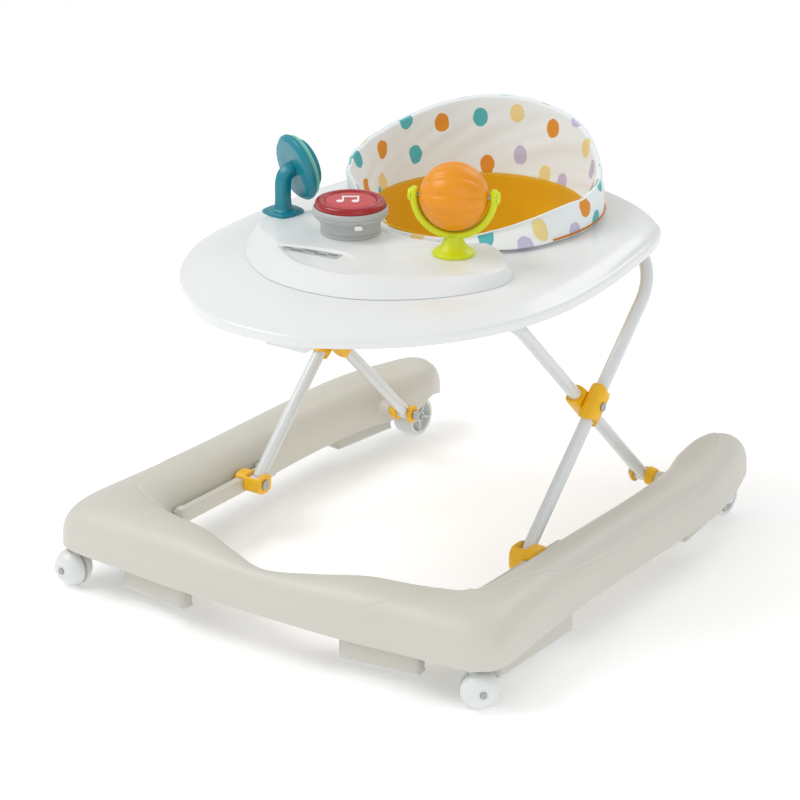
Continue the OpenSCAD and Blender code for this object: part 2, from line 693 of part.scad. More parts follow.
// Raised pair of quavers on the button
module button_note() {
  up = toy_z + button_up + 9.5;
  high = 1.2;
  color([0.94, 0.90, 0.90]) translate([music_x, music_y, up]) rotate([0, 0, 35])
    linear_extrude(height = high) {
    for (x = [-9, 9]) {
      translate([x - 3.2, -7]) circle(r = 4.2);
      translate([x - 1, -7]) square([2.4, 18]);
    }
    translate([-10, 8]) square([20.4, 3.6]);
  }
}
module mode_switch() {
  color([0.95, 0.95, 0.95]) translate([music_x, music_y, toy_z]) rotate([0, 0, -43])
    translate([button_d / 2 + 3.3, -4.5, 17]) cube([3.4, 9, 4.5]);
}

ball_x = 92;
ball_y = -80;
ball_z = toy_z + ball_d / 2 + 30;
ball_turn = 26;
ball_gap = 2;
module at_ball() {
  translate([ball_x, ball_y, ball_z]) rotate([0, 0, ball_turn]) children();
}
module ball_bracket() {
  ri = ball_d / 2 + ball_gap;
  deep = 14;
  color([0.84, 0.90, 0.08]) at_ball() difference() {
    union() {
      rotate([90, 0, 0]) rotate_extrude(angle = -180) translate([ri, -deep / 2]) square([9, deep]);
      for (s = [-1, 1]) translate([s * (ri + 4.5) - 4.5, -deep / 2, 0]) cube([9, deep, 8]);
      translate([-15, -deep / 2, -ball_d / 2 - 30]) cube([30, deep, 26]);
      translate([0, 0, -ball_d / 2 - 30]) cylinder(r = 23, h = 5);
    }
    rotate([0, 90, 0]) cylinder(r = 3, h = 2 * ri + 40, center = true);
    sphere(r = ri);
  }
}
module ball_axle() {
  long = ball_d + 2 * ball_gap + 14;
  color([0.62, 0.62, 0.64]) at_ball() rotate([0, 90, 0]) cylinder(r = 3, h = long, center = true);
}
module orange_ball() {
  color([0.96, 0.58, 0.08]) at_ball() difference() {
    sphere(d = ball_d);
    for (z = [-10, 10]) rotate([0, 0, 0]) rotate_extrude($fn = 72)
      translate([sqrt(ball_d * ball_d / 4 - z * z), z]) circle(r = 2, $fn = 16);
    rotate([0, 90, 0]) cylinder(r = 3 + run_fit, h = ball_d + 4, center = true);
  }
}

// ---------- drawing ----------
base_shell();
rail_l();
rail_r();
pivot_bracket_l();
pivot_bracket_r();
pivot_pins();
pad_bracket_fl();
pad_bracket_fr();
pad_bracket_ml();
pad_bracket_mr();
pad_bracket_rl();
pad_bracket_rr();
pad_strips_front();
pad_strips_mid();
pad_strips_rear();
pad_screws();
rear_fork_l();
rear_fork_r();
rear_axles();
rear_wheel_l();
rear_wheel_r();
castor_sockets();
castor_yoke_l();
castor_yoke_r();
castor_wheel_l();
castor_wheel_r();
castor_axle_l();
castor_axle_r();
front_frame();
cross_block_inner_l();
cross_block_inner_r();
cross_pins();
rear_leg_l();
rear_leg_r();
cross_block_outer_l();
cross_block_outer_r();
slider_l();
slider_r();
slider_pins();
tray_top();
play_console();
adjuster_housing();
release_lever();
lever_pin();
rear_saddles();
seat_ring();
seat_back();
seat_pouch();
spinner_post();
spinner_axle();
spinner_disc();
spinner_face();
music_housing();
red_button();
button_note();
mode_switch();
ball_bracket();
ball_axle();
orange_ball();
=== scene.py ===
import bpy, bmesh, math, json
import numpy as np
from mathutils import Vector, Matrix


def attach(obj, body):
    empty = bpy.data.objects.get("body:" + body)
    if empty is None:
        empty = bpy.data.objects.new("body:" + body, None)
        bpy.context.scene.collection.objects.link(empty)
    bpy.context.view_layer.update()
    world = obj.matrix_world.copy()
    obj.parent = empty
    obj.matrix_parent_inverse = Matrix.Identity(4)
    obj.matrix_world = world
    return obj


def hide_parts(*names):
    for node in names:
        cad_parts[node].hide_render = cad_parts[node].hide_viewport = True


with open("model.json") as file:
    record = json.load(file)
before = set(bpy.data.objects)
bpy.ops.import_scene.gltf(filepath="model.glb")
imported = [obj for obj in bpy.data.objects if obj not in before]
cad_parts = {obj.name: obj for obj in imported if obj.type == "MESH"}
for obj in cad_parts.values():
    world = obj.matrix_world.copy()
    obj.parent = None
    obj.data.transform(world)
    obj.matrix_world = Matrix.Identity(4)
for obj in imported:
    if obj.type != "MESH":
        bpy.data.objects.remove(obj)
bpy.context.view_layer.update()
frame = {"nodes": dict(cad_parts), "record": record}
nodes = frame["nodes"]
MM = 0.001

# ------------------------------------------------------------------ sizes shared with the CAD part (mm)
LEG = math.hypot(149, 145)
ANG = math.atan2(145, 149)
TUBE = 2 * LEG + 20
TOP_Z = 72 + TUBE * math.sin(ANG)
TRAY_Z = TOP_Z + 10
DECK = TRAY_Z + 26
TOY_Z = DECK + 16.2
SEAT = np.array([0.0, 110.0])
SEAT_R, HOLE_R = 150.0, 140.0
WALL_FOOT = DECK + 4.4   # where the cloth wall stands on the seat ring
LEG_TILT = math.radians(62)   # lean of the leg holes from upright
BALL_TURN = 26   # turn of the ball and its bracket about z, degrees

# ------------------------------------------------------------------ mesh helpers
def cr(a, b, c, d, t):
    return 0.5 * (2 * b + (c - a) * t + (2 * a - 5 * b + 4 * c - d) * t * t + (3 * b - a - 3 * c + d) * t ** 3)

def along(P, s):
    n = len(P) - 1
    i = int(min(max(math.floor(s), 0), n - 1))
    return cr(P[max(i - 1, 0)], P[i], P[i + 1], P[min(i + 2, n)], s - i)

def around(P, s):
    n = len(P)
    i = int(math.floor(s))
    return cr(P[(i - 1) % n], P[i % n], P[(i + 1) % n], P[(i + 2) % n], s - i)

def finish_mesh(name, verts, faces, angle=40, scale=MM):
    me = bpy.data.meshes.new(name)
    me.from_pydata([tuple(np.asarray(v, float) * scale) for v in verts], [], [tuple(f) for f in faces])
    me.update()
    bm = bmesh.new()
    bm.from_mesh(me)
    bmesh.ops.remove_doubles(bm, verts=bm.verts, dist=2e-6)
    bmesh.ops.recalc_face_normals(bm, faces=bm.faces)
    for f in bm.faces:
        f.smooth = True
    lim = math.radians(angle)
    for e in bm.edges:
        if len(e.link_faces) == 2 and e.calc_face_angle(0) > lim:
            e.smooth = False
    bm.to_mesh(me)
    bm.free()
    o = bpy.data.objects.new(name, me)
    bpy.context.scene.collection.objects.link(o)
    return o

def loft(name, rings, loop=False, closed=True, caps=True, angle=40):
    rings = np.asarray(rings, float)
    k, n, _ = rings.shape
    verts = rings.reshape(-1, 3)
    faces = []
    for i in range(k if loop else k - 1):
        a, b = i * n, ((i + 1) % k) * n
        for j in range(n if closed else n - 1):
            j1 = (j + 1) % n
            faces.append((a + j, a + j1, b + j1, b + j))
    if caps and not loop and closed:
        faces.append(tuple(range(n)))
        faces.append(tuple((k - 1) * n + j for j in reversed(range(n))))
    return finish_mesh(name, verts, faces, angle)

def basis(axis, up=(0, 0, 1)):
    z = Vector(axis).normalized()
    x = Vector(up).cross(z)
    if x.length < 1e-3:
        x = Vector((1, 0, 0)).cross(z)
    x.normalize()
    return np.array([x, z.cross(x), z]).T

def lathe(name, profile, centre, axis=(0, 0, 1), n=96, angle=35, wobble=None):
    """profile: list of (r, h) in mm, from the axis out and back to it."""
    B = basis(axis)
    c = np.asarray(centre, float)
    rings = []
    for k in range(n):
        w = 2 * math.pi * k / n
        ring = []
        for r, h in profile:
            rr = r if wobble is None else wobble(r, h, w)
            ring.append(c + B @ np.array([rr * math.cos(w), rr * math.sin(w), h]))
        rings.append(ring)
    return loft(name, rings, loop=True, closed=profile[0][0] > 1e-6 or profile[-1][0] > 1e-6, angle=angle)

def fillet(points, r, n=4):
    """Rounds the corners of an open 2-D polyline by r (a number, or one number per point)."""
    P = [np.asarray(p, float) for p in points]
    R = r if hasattr(r, "__len__") else [r] * len(P)
    out = [P[0]]
    for i in range(1, len(P) - 1):
        a, b, c = P[i - 1], P[i], P[i + 1]
        u, v = a - b, c - b
        lu, lv = np.linalg.norm(u), np.linalg.norm(v)
        d = min(R[i], lu * 0.45, lv * 0.45)
        if d < 1e-6:
            out.append(b)
            continue
        p, q = b + u / lu * d, b + v / lv * d
        for t in np.linspace(0, 1, n + 1):
            out.append((1 - t) ** 2 * p + 2 * t * (1 - t) * b + t * t * q)
    out.append(P[-1])
    return [tuple(p) for p in out]

def sweep(name, path, radius, n=24, caps=True, squash=None, angle=40):
    """Tube along 3-D points; radius is a number or one per point."""
    P = np.asarray(path, float)
    m = len(P)
    R = np.full(m, radius, float) if np.isscalar(radius) else np.asarray(radius, float)
    T = np.gradient(P, axis=0)
    T /= np.linalg.norm(T, axis=1)[:, None]
    ref = np.array([0, 0, 1.0]) if abs(T[0][2]) < 0.9 else np.array([1.0, 0, 0])
    x = np.cross(ref, T[0])
    x /= np.linalg.norm(x)
    rings = []
    for i in range(m):
        x = x - T[i] * np.dot(x, T[i])
        x /= np.linalg.norm(x)
        y = np.cross(T[i], x)
        ring = []
        for k in range(n):
            w = 2 * math.pi * k / n
            cx, cy = math.cos(w), math.sin(w)
            if squash:
                cx, cy = squash(cx, cy)
            ring.append(P[i] + R[i] * (cx * x + cy * y))
        rings.append(ring)
    return loft(name, rings, caps=caps, angle=angle)

def modifier(o, kind, **kw):
    m = o.modifiers.new(kind, kind)
    for k, v in kw.items():
        setattr(m, k, v)
    return m

# ------------------------------------------------------------------ materials
def nt(name):
    m = bpy.data.materials.new(name)
    m.use_nodes = True
    t = m.node_tree
    b = t.nodes["Principled BSDF"]
    return m, t, b

def N(t, kind, **kw):
    n = t.nodes.new(kind)
    for k, v in kw.items():
        if k.startswith("_"):
            n.inputs[int(k[1:])].default_value = v
        elif hasattr(n, k):
            setattr(n, k, v)
        else:
            n.inputs[k.replace("_", " ")].default_value = v
    return n

def L(t, a, b):
    t.links.new(a, b)

def srgb(r, g, b):
    def f(c):
        c /= 255.0
        return c / 12.92 if c <= 0.04045 else ((c + 0.055) / 1.055) ** 2.4
    return (f(r), f(g), f(b), 1.0)

def mixrgb(t, fac, a, b, blend="MIX"):
    n = N(t, "ShaderNodeMix", data_type="RGBA", blend_type=blend)
    for sock, v in ((n.inputs[0], fac), (n.inputs[6], a), (n.inputs[7], b)):
        if hasattr(v, "links"):
            L(t, v, sock)
        else:
            sock.default_value = v
    return n.outputs[2]

def noise(t, scale, detail=3.0, rough=0.5, vec=None):
    n = N(t, "ShaderNodeTexNoise", Scale=scale, Detail=detail, Roughness=rough)
    if vec is None:
        c = N(t, "ShaderNodeTexCoord")
        vec = c.outputs["Object"]
    L(t, vec, n.inputs["Vector"])
    return n.outputs["Fac"]

def ramp(t, fac, stops, interp="LINEAR"):
    n = N(t, "ShaderNodeValToRGB")
    n.color_ramp.interpolation = interp
    while len(n.color_ramp.elements) > len(stops):
        n.color_ramp.elements.remove(n.color_ramp.elements[-1])
    while len(n.color_ramp.elements) < len(stops):
        n.color_ramp.elements.new(0.5)
    for e, (p, c) in zip(n.color_ramp.elements, stops):
        e.position = p
        e.color = c if hasattr(c, "__len__") else (c, c, c, 1)
    L(t, fac, n.inputs["Fac"])
    return n.outputs["Color"]

def mapr(t, fac, lo, hi):
    n = N(t, "ShaderNodeMapRange")
    L(t, fac, n.inputs["Value"])
    n.inputs["To Min"].default_value = lo
    n.inputs["To Max"].default_value = hi
    return n.outputs["Result"]

def bump(t, b, height, strength, dist=0.001):
    n = N(t, "ShaderNodeBump", Strength=strength, Distance=dist)
    L(t, height, n.inputs["Height"])
    L(t, n.outputs["Normal"], b.inputs["Normal"])

def plastic(name, rgb, rough=0.35, var=0.04, grain=900.0, grain_strength=0.08, coat=0.0, sss=0.0, spec=0.5):
    m, t, b = nt(name)
    base = srgb(*rgb)
    dark = tuple(c * (1 - var) for c in base[:3]) + (1,)
    f = noise(t, 9.0, 4.0)
    L(t, mixrgb(t, mapr(t, f, 0.0, 1.0), dark, base), b.inputs["Base Color"])
    r = noise(t, 35.0, 3.0)
    L(t, mapr(t, r, rough - 0.05, rough + 0.07), b.inputs["Roughness"])
    b.inputs["Specular IOR Level"].default_value = spec
    if coat:
        b.inputs["Coat Weight"].default_value = coat
        b.inputs["Coat Roughness"].default_value = 0.12
    if sss:
        b.inputs["Subsurface Weight"].default_value = sss
        b.inputs["Subsurface Radius"].default_value = (0.004, 0.0035, 0.003)
        b.inputs["Subsurface Scale"].default_value = 1.0
    bump(t, b, noise(t, grain, 2.0), grain_strength, 0.0004)
    return m

def metal(name, rgb, rough=0.3):
    m, t, b = nt(name)
    base = srgb(*rgb)
    f = noise(t, 160.0, 3.0)
    L(t, mixrgb(t, f, tuple(c * 0.8 for c in base[:3]) + (1,), base), b.inputs["Base Color"])
    b.inputs["Metallic"].default_value = 1.0
    L(t, mapr(t, noise(t, 400.0), rough - 0.08, rough + 0.1), b.inputs["Roughness"])
    bump(t, b, noise(t, 1500.0), 0.05, 0.0002)
    return m

mats = {
    "base_grey": plastic("base_grey", (210, 208, 198), 0.42, 0.03, 700, 0.06, sss=0.05),
    "yellow_plastic": plastic("yellow_plastic", (248, 190, 24), 0.34, 0.06, 900, 0.06, sss=0.05),
    "steel_pins": metal("steel_pins", (176, 178, 182)),
    "pad_rubber": plastic("pad_rubber", (224, 226, 226), 0.62, 0.06, 1500, 0.25),
    "wheel_white": plastic("wheel_white", (228, 231, 229), 0.3, 0.03, 800, 0.05, sss=0.06),
    "tube_paint": plastic("tube_paint", (222, 225, 226), 0.2, 0.02, 1400, 0.05, coat=0.5),
    "tray_white": plastic("tray_white", (233, 236, 235), 0.3, 0.02, 800, 0.04, coat=0.25, sss=0.05),
    "teal_plastic": plastic("teal_plastic", (8, 132, 150), 0.32, 0.06, 900, 0.05, coat=0.1),
    "mint_plastic": plastic("mint_plastic", (110, 196, 180), 0.3, 0.05, 900, 0.05, coat=0.2),
    "music_grey": plastic("music_grey", (182, 185, 184), 0.36, 0.04, 900, 0.06),
    "button_red": plastic("button_red", (200, 22, 30), 0.26, 0.06, 900, 0.04, coat=0.2),
    "switch_white": plastic("switch_white", (244, 240, 238), 0.3, 0.03, 900, 0.04),
    "lime_plastic": plastic("lime_plastic", (214, 228, 18), 0.34, 0.05, 900, 0.05, sss=0.08),
    "orange_plastic": plastic("orange_plastic", (238, 150, 2), 0.34, 0.06, 900, 0.06),
}

mats["label_ink"] = plastic("label_ink", (112, 118, 120), 0.5, 0.1, 1400, 0.05)
# darker copy of the button's red for the rim: painted shade on the button's side, the plastic being the same red as
# the cap
mats["button_red_painted_shade"] = plastic("button_red_painted_shade", (164, 14, 24), 0.28, 0.08, 900, 0.04, coat=0.2)
mats["pad_screw"] = plastic("pad_screw", (214, 214, 210), 0.4, 0.05, 900, 0.05)
DOTS = [srgb(226, 148, 48), srgb(88, 184, 190), srgb(238, 216, 150), srgb(198, 193, 218)]

def weave_height(t, uv, scale):
    s = N(t, "ShaderNodeSeparateXYZ")
    L(t, uv, s.inputs[0])
    outs = []
    for k in range(2):
        mul = N(t, "ShaderNodeMath", operation="MULTIPLY", _1=scale)
        L(t, s.outputs[k], mul.inputs[0])
        sn = N(t, "ShaderNodeMath", operation="SINE")
        L(t, mul.outputs[0], sn.inputs[0])
        outs.append(sn.outputs[0])
    m = N(t, "ShaderNodeMath", operation="MULTIPLY")
    L(t, outs[0], m.inputs[0])
    L(t, outs[1], m.inputs[1])
    return m.outputs[0]

# Printed dots: (angle in degrees round the seat, height above the wall's foot in mm, colour), inside and outside
INNER_DOTS = [
    (143, 66, 0), (123, 71, 1), (104, 78, 2), (83, 67, 0), (56, 58, 2), (181, 48, 0), (159, 31, 1),
    (119, 12, 0), (101, 27, 3), (85, 8, 2), (72, 5, 3), (186, 10, 2), (190, -4, 1), (68, 88, 3),
    (163, 76, 1), (203, 52, 1), (44, 40, 3), (30, 26, 0), (14, 34, 1), (-8, 26, 3), (-30, 12, 1),
    (205, 16, 0), (224, 24, 3)]
OUTER_DOTS = [
    (-53, 12, 1), (-27, 15, 2), (-8, 3, 3), (-36, -1, 3), (1, 27, 0), (20, 44, 1), (10, 6, 1),
    (27, 14, 2), (38, 40, 3), (45, 9, 0), (56, 56, 1), (62, 20, 3), (73, 74, 2), (80, 32, 1),
    (90, 84, 0), (97, 44, 3), (108, 10, 2), (111, 88, 1), (116, 52, 0), (127, 22, 1), (131, 84, 3),
    (137, 52, 2), (146, 14, 0), (152, 70, 1), (158, 38, 3), (167, 8, 2), (172, 60, 0), (180, 28, 1),
    (190, 54, 2), (199, 18, 3), (208, 46, 1), (216, 10, 0), (88, 6, 0), (-70, 8, 0), (-88, 5, 2)]

def fabric(name, rgb, dots=False, var=0.05):
    """Woven cloth. UV is in metres along the cloth; the inner face has its v raised by one metre."""
    m, t, b = nt(name)
    uv = N(t, "ShaderNodeUVMap").outputs["UV"]
    base = srgb(*rgb)
    dark = tuple(c * (1 - var) for c in base[:3]) + (1,)
    col = mixrgb(t, noise(t, 14.0, 4.0), dark, base)
    if dots:
        wob = N(t, "ShaderNodeTexNoise", Scale=90.0, Detail=2.0)
        L(t, uv, wob.inputs["Vector"])
        off = N(t, "ShaderNodeVectorMath", operation="MULTIPLY_ADD")
        L(t, wob.outputs["Color"], off.inputs[0])
        off.inputs[1].default_value = (0.0035, 0.0035, 0.0)
        L(t, uv, off.inputs[2])
        squash = N(t, "ShaderNodeVectorMath", operation="MULTIPLY")
        L(t, off.outputs[0], squash.inputs[0])
        squash.inputs[1].default_value = (1.0, 0.86, 0.0)
        for colour in range(4):
            near = None
            for side, spots in ((1.0, INNER_DOTS), (0.0, OUTER_DOTS)):
                for w, h, c in spots:
                    if c != colour:
                        continue
                    d = N(t, "ShaderNodeVectorMath", operation="DISTANCE")
                    L(t, squash.outputs[0], d.inputs[0])
                    at = ((w + 110) * math.pi / 180 * 0.15 + 0.00175, (h * MM + side) * 0.86 + 0.0015, 0.0)
                    d.inputs[1].default_value = at
                    if near is None:
                        near = d.outputs["Value"]
                    else:
                        mn = N(t, "ShaderNodeMath", operation="MINIMUM")
                        L(t, near, mn.inputs[0])
                        L(t, d.outputs["Value"], mn.inputs[1])
                        near = mn.outputs[0]
            mask = N(t, "ShaderNodeMapRange", interpolation_type="SMOOTHSTEP")
            L(t, near, mask.inputs["Value"])
            mask.inputs["From Min"].default_value = 0.0104
            mask.inputs["From Max"].default_value = 0.0098
            col = mixrgb(t, mask.outputs["Result"], col, DOTS[colour])
    L(t, col, b.inputs["Base Color"])
    b.inputs["Roughness"].default_value = 0.85
    b.inputs["Sheen Weight"].default_value = 0.15
    b.inputs["Specular IOR Level"].default_value = 0.25
    w = weave_height(t, uv, 2 * math.pi / 0.0011)
    mix = N(t, "ShaderNodeMath", operation="MULTIPLY_ADD", _1=0.35)
    L(t, noise(t, 60.0, 4.0), mix.inputs[0])
    L(t, w, mix.inputs[2])
    bump(t, b, mix.outputs[0], 0.25, 0.0006)
    return m

mats["seat_fabric"] = fabric("seat_fabric", (240, 246, 247), dots=True)
mats["pouch_fabric"] = fabric("pouch_fabric", (236, 180, 16), var=0.10)
mats["binding"] = fabric("binding", (206, 124, 20), var=0.12)

def paint(o, slot):
    o.data.materials.clear()
    o.data.materials.append(mats[slot])
    return o

def place(o, slot, body, *replaced, record_slot=None):
    paint(o, slot)
    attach(o, body)
    if replaced:
        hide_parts(*replaced)
    return o

# CAD pieces that stay: record's slot, softened edges and smooth curves
slot_of = {s["node"]: s["material_slot"] for s in frame["record"]["subparts"]}
BEVEL = {"base_grey": 1.2, "yellow_plastic": 1.6, "wheel_white": 0.8, "tray_white": 1.5, "music_grey": 1.2,
         "pad_rubber": 1.0, "lime_plastic": 1.5, "steel_pins": 0.4, "tube_paint": 0.4}
for n, o in nodes.items():
    paint(o, slot_of[n])
    o.data.shade_smooth()
    modifier(o, "WELD", merge_threshold=0.00002)
    w = BEVEL.get(slot_of[n], 0.8)
    modifier(o, "BEVEL", width=w * MM, segments=3, limit_method="ANGLE", angle_limit=math.radians(38),
             harden_normals=False)

# ------------------------------------------------------------------ base shell
HALF = np.array([
    [0, -355, 0, -319, 49, 158, 0], [60, -354.6, 60, -296, 53, 158, 0], [125, -353, 118, -271, 60, 156, 0],
    [200, -347, 168, -257, 60, 108, 1], [262, -342, 200, -243, 60, 52, 1], [300, -333, 215, -229, 60, 55, 1],
    [316.4, -306, 224, -206, 60, 72, 1], [311, -235, 226, -130, 60, 95, 1], [302, -120, 227, -30, 60, 140, 1],
    [300, 60, 228, 80, 60, 146, 1], [299, 180, 221, 180, 60, 140, 1], [286, 255, 202, 251, 60, 112, 1],
    [269, 313, 199, 307, 57, 80, 1], [257, 343, 212, 341, 42, 50, 1], [243, 355, 226, 355, 14, 40, 1]], float)
mirrored = HALF[:0:-1].copy()
mirrored[:, 0] *= -1
mirrored[:, 2] *= -1
FULL = np.vstack([mirrored, HALF])

def base_ring(q, s):
    """Arch section at a station: outer skin over the crown with its crease, then the inner skin back."""
    o, i, top, ac, dep = q[0:2], q[2:4], q[4], q[5], max(0.0, min(1.0, q[6]))
    span = np.linalg.norm(o - i)
    d = (o - i) / span
    y = (o[1] + i[1]) / 2
    x = abs((o[0] + i[0]) / 2)
    cut = math.exp(-((y - 308) / 26.0) ** 2) if x > 150 else 0.0
    A = np.concatenate([np.linspace(0, ac - 2.2, 22), np.linspace(ac - 1.6, ac + 1.6, 5),
                        np.linspace(ac + 2.4, 180, 20)])
    A = np.clip(A, 0, 180)
    sec = []
    for a in np.radians(A):
        sec.append([(1 - math.cos(a)) / 2 * span, top * max(math.sin(a), 0) ** 0.62])
    sec = np.array(sec)
    tang = np.gradient(sec, axis=0)
    nrm = np.stack([-tang[:, 1], tang[:, 0]], 1)
    nrm /= np.maximum(np.linalg.norm(nrm, axis=1), 1e-9)[:, None]
    t = np.clip((A - (ac - 1.6)) / 3.2, 0, 1)
    step = t * t * (3 - 2 * t)
    groove = np.exp(-((A - ac) / 1.3) ** 2) * 0.5
    sec = sec - nrm * ((step * 1.1 + groove) * dep)[:, None]
    low = np.zeros(len(A))
    low[A < 60] = (1 - A[A < 60] / 60) * 13 * cut
    out = [np.array([*(i + d * u), 50 + max(z, 0.0) * (1 - l / 60) + l]) for (u, z), l in zip(sec, low)]
    e = min(2.6, span / 4)
    inn = []
    for a in np.radians(np.linspace(180, 0, 24)):
        u = e + (span - 2 * e) * (1 - math.cos(a)) / 2
        l = max(0.0, 1 - math.degrees(a) / 60) * 13 * cut
        inn.append(np.array([*(i + d * u), 50 + (top - e) * max(math.sin(a), 0) ** 0.62 * (1 - l / 60) + l]))
    return out + inn

steps = 8
rings = []
for k in range((len(FULL) - 1) * steps + 1):
    rings.append(base_ring(along(FULL, k / steps), k / steps))
base = loft("base_cover", rings, caps=True, angle=50)
place(base, "base_grey", "base", "base_shell")

# ------------------------------------------------------------------ tray
TH = [[0, -349], [50, -344], [98, -322], [148, -284], [184, -244], [212, -197], [233, -142], [243, -80], [243, -20],
      [237, 45], [227, 110], [216, 165], [197, 213], [160, 247], [118, 268], [68, 283], [0, 290]]
TLOOP = np.array(TH + [[-x, y] for x, y in TH[-2:0:-1]], float)

def tray_height(f):
    """Height above the skirt's edge at share f of the way in; the crown falls away towards the rim."""
    return 10.5 + 15.5 * (1 - (1 - min(f / 0.42, 1.0)) ** 2.6)

def tray_ring(q):
    """Section of the tray from a point on its rim to the seat opening and back underneath."""
    w = math.atan2(q[1] - SEAT[1], q[0])
    i = SEAT + HOLE_R * np.array([math.cos(w), math.sin(w)])
    d = (i - q)
    span = np.linalg.norm(d)
    u = d / span
    ring = []
    def P(dist, z):
        ring.append([*(q + u * dist), TRAY_Z + z])
    P(0.0, 0.6); P(0.0, 5.0); P(0.15, 8.5)
    for t in np.linspace(0, 1, 7):
        a = t * math.pi / 2 * 0.86
        P(0.3 + 4.5 * (1 - math.cos(a)), 9.0 + 4.0 * math.sin(a))
    for f in np.linspace(0.05, 0.96, 34):
        P(max(f * span, 5.5), max(tray_height(f), 13.2))
    for t in np.linspace(0.2, 1, 5):
        a = t * math.pi / 2
        P(span - 4 + 4 * math.sin(a), 26 - 4 + 4 * math.cos(a))
    P(span, 18.5)
    P(span - 2.6, 18.5); P(span - 2.8, 22.6)
    for f in np.linspace(0.95, 0.05, 16):
        P(f * span, max(tray_height(f) - 2.9, 9.6))
    P(2.9, 8.0); P(2.6, 4.0); P(2.6, 0.6); P(1.3, 0.0)
    return ring

rings = [tray_ring(around(TLOOP, k / 6)) for k in range(len(TLOOP) * 6)]
tray = loft("tray_cover", rings, loop=True, angle=55)
place(tray, "tray_white", "tray", "tray_top")

# raised play panel: a long ramp at the front, steeper at the sides, following the seat ring at the rear
CH = np.array([[0, -247], [50, -240], [98, -214], [142, -172], [170, -122], [173, -84], [154, -52],
               [118, -24]], float)
right = [along(CH, k / 6) for k in range(7 * 6 + 1)]
reach = math.asin(100 / (SEAT_R + 8))
rear = [np.array([(SEAT_R + 8) * math.sin(w), SEAT[1] - (SEAT_R + 8) * math.cos(w)])
        for w in np.linspace(reach, -reach, 41)]
outline = right + rear + [np.array([-p[0], p[1]]) for p in right[:0:-1]]
outline = np.array(outline)
seg = np.linalg.norm(np.roll(outline, -1, 0) - outline, axis=1)
cum = np.concatenate([[0], np.cumsum(seg)])
M = 260
tt = np.linspace(0, cum[-1], M, endpoint=False)
closed_out = np.vstack([outline, outline[:1]])
ring0 = np.stack([np.interp(tt, cum, closed_out[:, k]) for k in range(2)], 1)
mid = np.array([0.0, -128.0])

def smooth_loop(a, n):
    """Evens out a closed outline n times."""
    for _ in range(n):
        a = (np.roll(a, 1, 0) + 2 * a + np.roll(a, -1, 0)) / 4
    return a
ring0 = smooth_loop(ring0, 6)
tang = np.roll(ring0, -1, 0) - np.roll(ring0, 1, 0)
nin = np.stack([-tang[:, 1], tang[:, 0]], 1)
nin /= np.linalg.norm(nin, axis=1)[:, None]
if np.mean(np.sum(nin * (mid - ring0), 1)) < 0:
    nin = -nin
front = np.clip((-ring0[:, 1] - 110) / 90, 0, 1)
ramp_w = 7 + 30 * front * front * (3 - 2 * front)
rear_side = np.abs(np.hypot(ring0[:, 0], ring0[:, 1] - SEAT[1]) - (SEAT_R + 8)) < 6
ramp_w = np.where(rear_side, 15.0, ramp_w)
for _ in range(30):
    ramp_w = (np.roll(ramp_w, 1) + 2 * ramp_w + np.roll(ramp_w, -1)) / 4
rings = []
for f in np.linspace(0, 1, 13):
    r = ring0 + nin * (ramp_w * f)[:, None]
    z = 0.25 + 0.6 * min(f * 13, 1) + (16.0 - 0.85) * (1 - (1 - f) ** 2.2) * (0.25 + 0.75 * f) ** 0.6
    rings.append(np.column_stack([r, np.full(M, DECK + 0.2 + z - 0.25)]))
top = ring0 + nin * ramp_w[:, None]
RECESS = np.array([(-92, -236), (-101, -205), (-97, -173), (-59, -156), (-12, -149), (14, -166), (36, -200),
                   (26, -226), (-30, -236)], float)

def inside_depth(p, poly):
    """Distance from p to the polygon's edge, positive inside."""
    a, b = poly, np.roll(poly, -1, 0)
    ab, ap = b - a, p - a
    t = np.clip((ap * ab).sum(1) / (ab * ab).sum(1), 0, 1)
    d = np.linalg.norm(ap - ab * t[:, None], axis=1).min()
    at = (b[:, 0] - a[:, 0]) * (p[1] - a[:, 1]) / (b[:, 1] - a[:, 1] + 1e-12) + a[:, 0]
    cross = ((a[:, 1] > p[1]) != (b[:, 1] > p[1])) & (p[0] < at)
    return d if cross.sum() % 2 else -d
RECESS = np.array([around(RECESS, k / 6) for k in range(len(RECESS) * 6)])

def panel_drop(p):
    """How far the panel's top sinks at p, inside the recess."""
    d = inside_depth(p, RECESS)
    if d < -4:
        return 0.0
    t = min(max((d + 1.0) / 3.4, 0), 1)
    fade = min(max((p[1] + 243) / 34, 0), 1)
    return 2.2 * t * t * (3 - 2 * t) * fade
for f in np.linspace(0.03, 0.98, 54):
    r = top + (mid - top) * f
    z = [DECK + 16.2 - panel_drop(p) for p in r]
    rings.append(np.column_stack([r, z]))
panel = loft("play_panel", np.array(rings), closed=True, caps=True, angle=60)
place(panel, "tray_white", "tray", "play_console")

def plate(name, outline, z0, z1, edge=0.6):
    """Flat plate with a rounded top edge from a closed 2-D outline."""
    P = np.asarray(outline, float)
    tg = np.roll(P, -1, 0) - np.roll(P, 1, 0)
    n = np.stack([-tg[:, 1], tg[:, 0]], 1) / np.maximum(np.linalg.norm(tg, axis=1), 1e-9)[:, None]
    if np.mean(np.sum(n * (P.mean(0) - P), 1)) < 0:
        n = -n
    rg = [np.column_stack([P, np.full(len(P), z0)])]
    for a in np.linspace(0, math.pi / 2, 5):
        height = z1 - edge + edge * math.sin(a)
        rg.append(np.column_stack([P + n * edge * (1 - math.cos(a)), np.full(len(P), height)]))
    rg.append(np.column_stack([P * 0.5 + P.mean(0) * 0.5, np.full(len(P), z1)]))
    return loft(name, np.array(rg), angle=50)

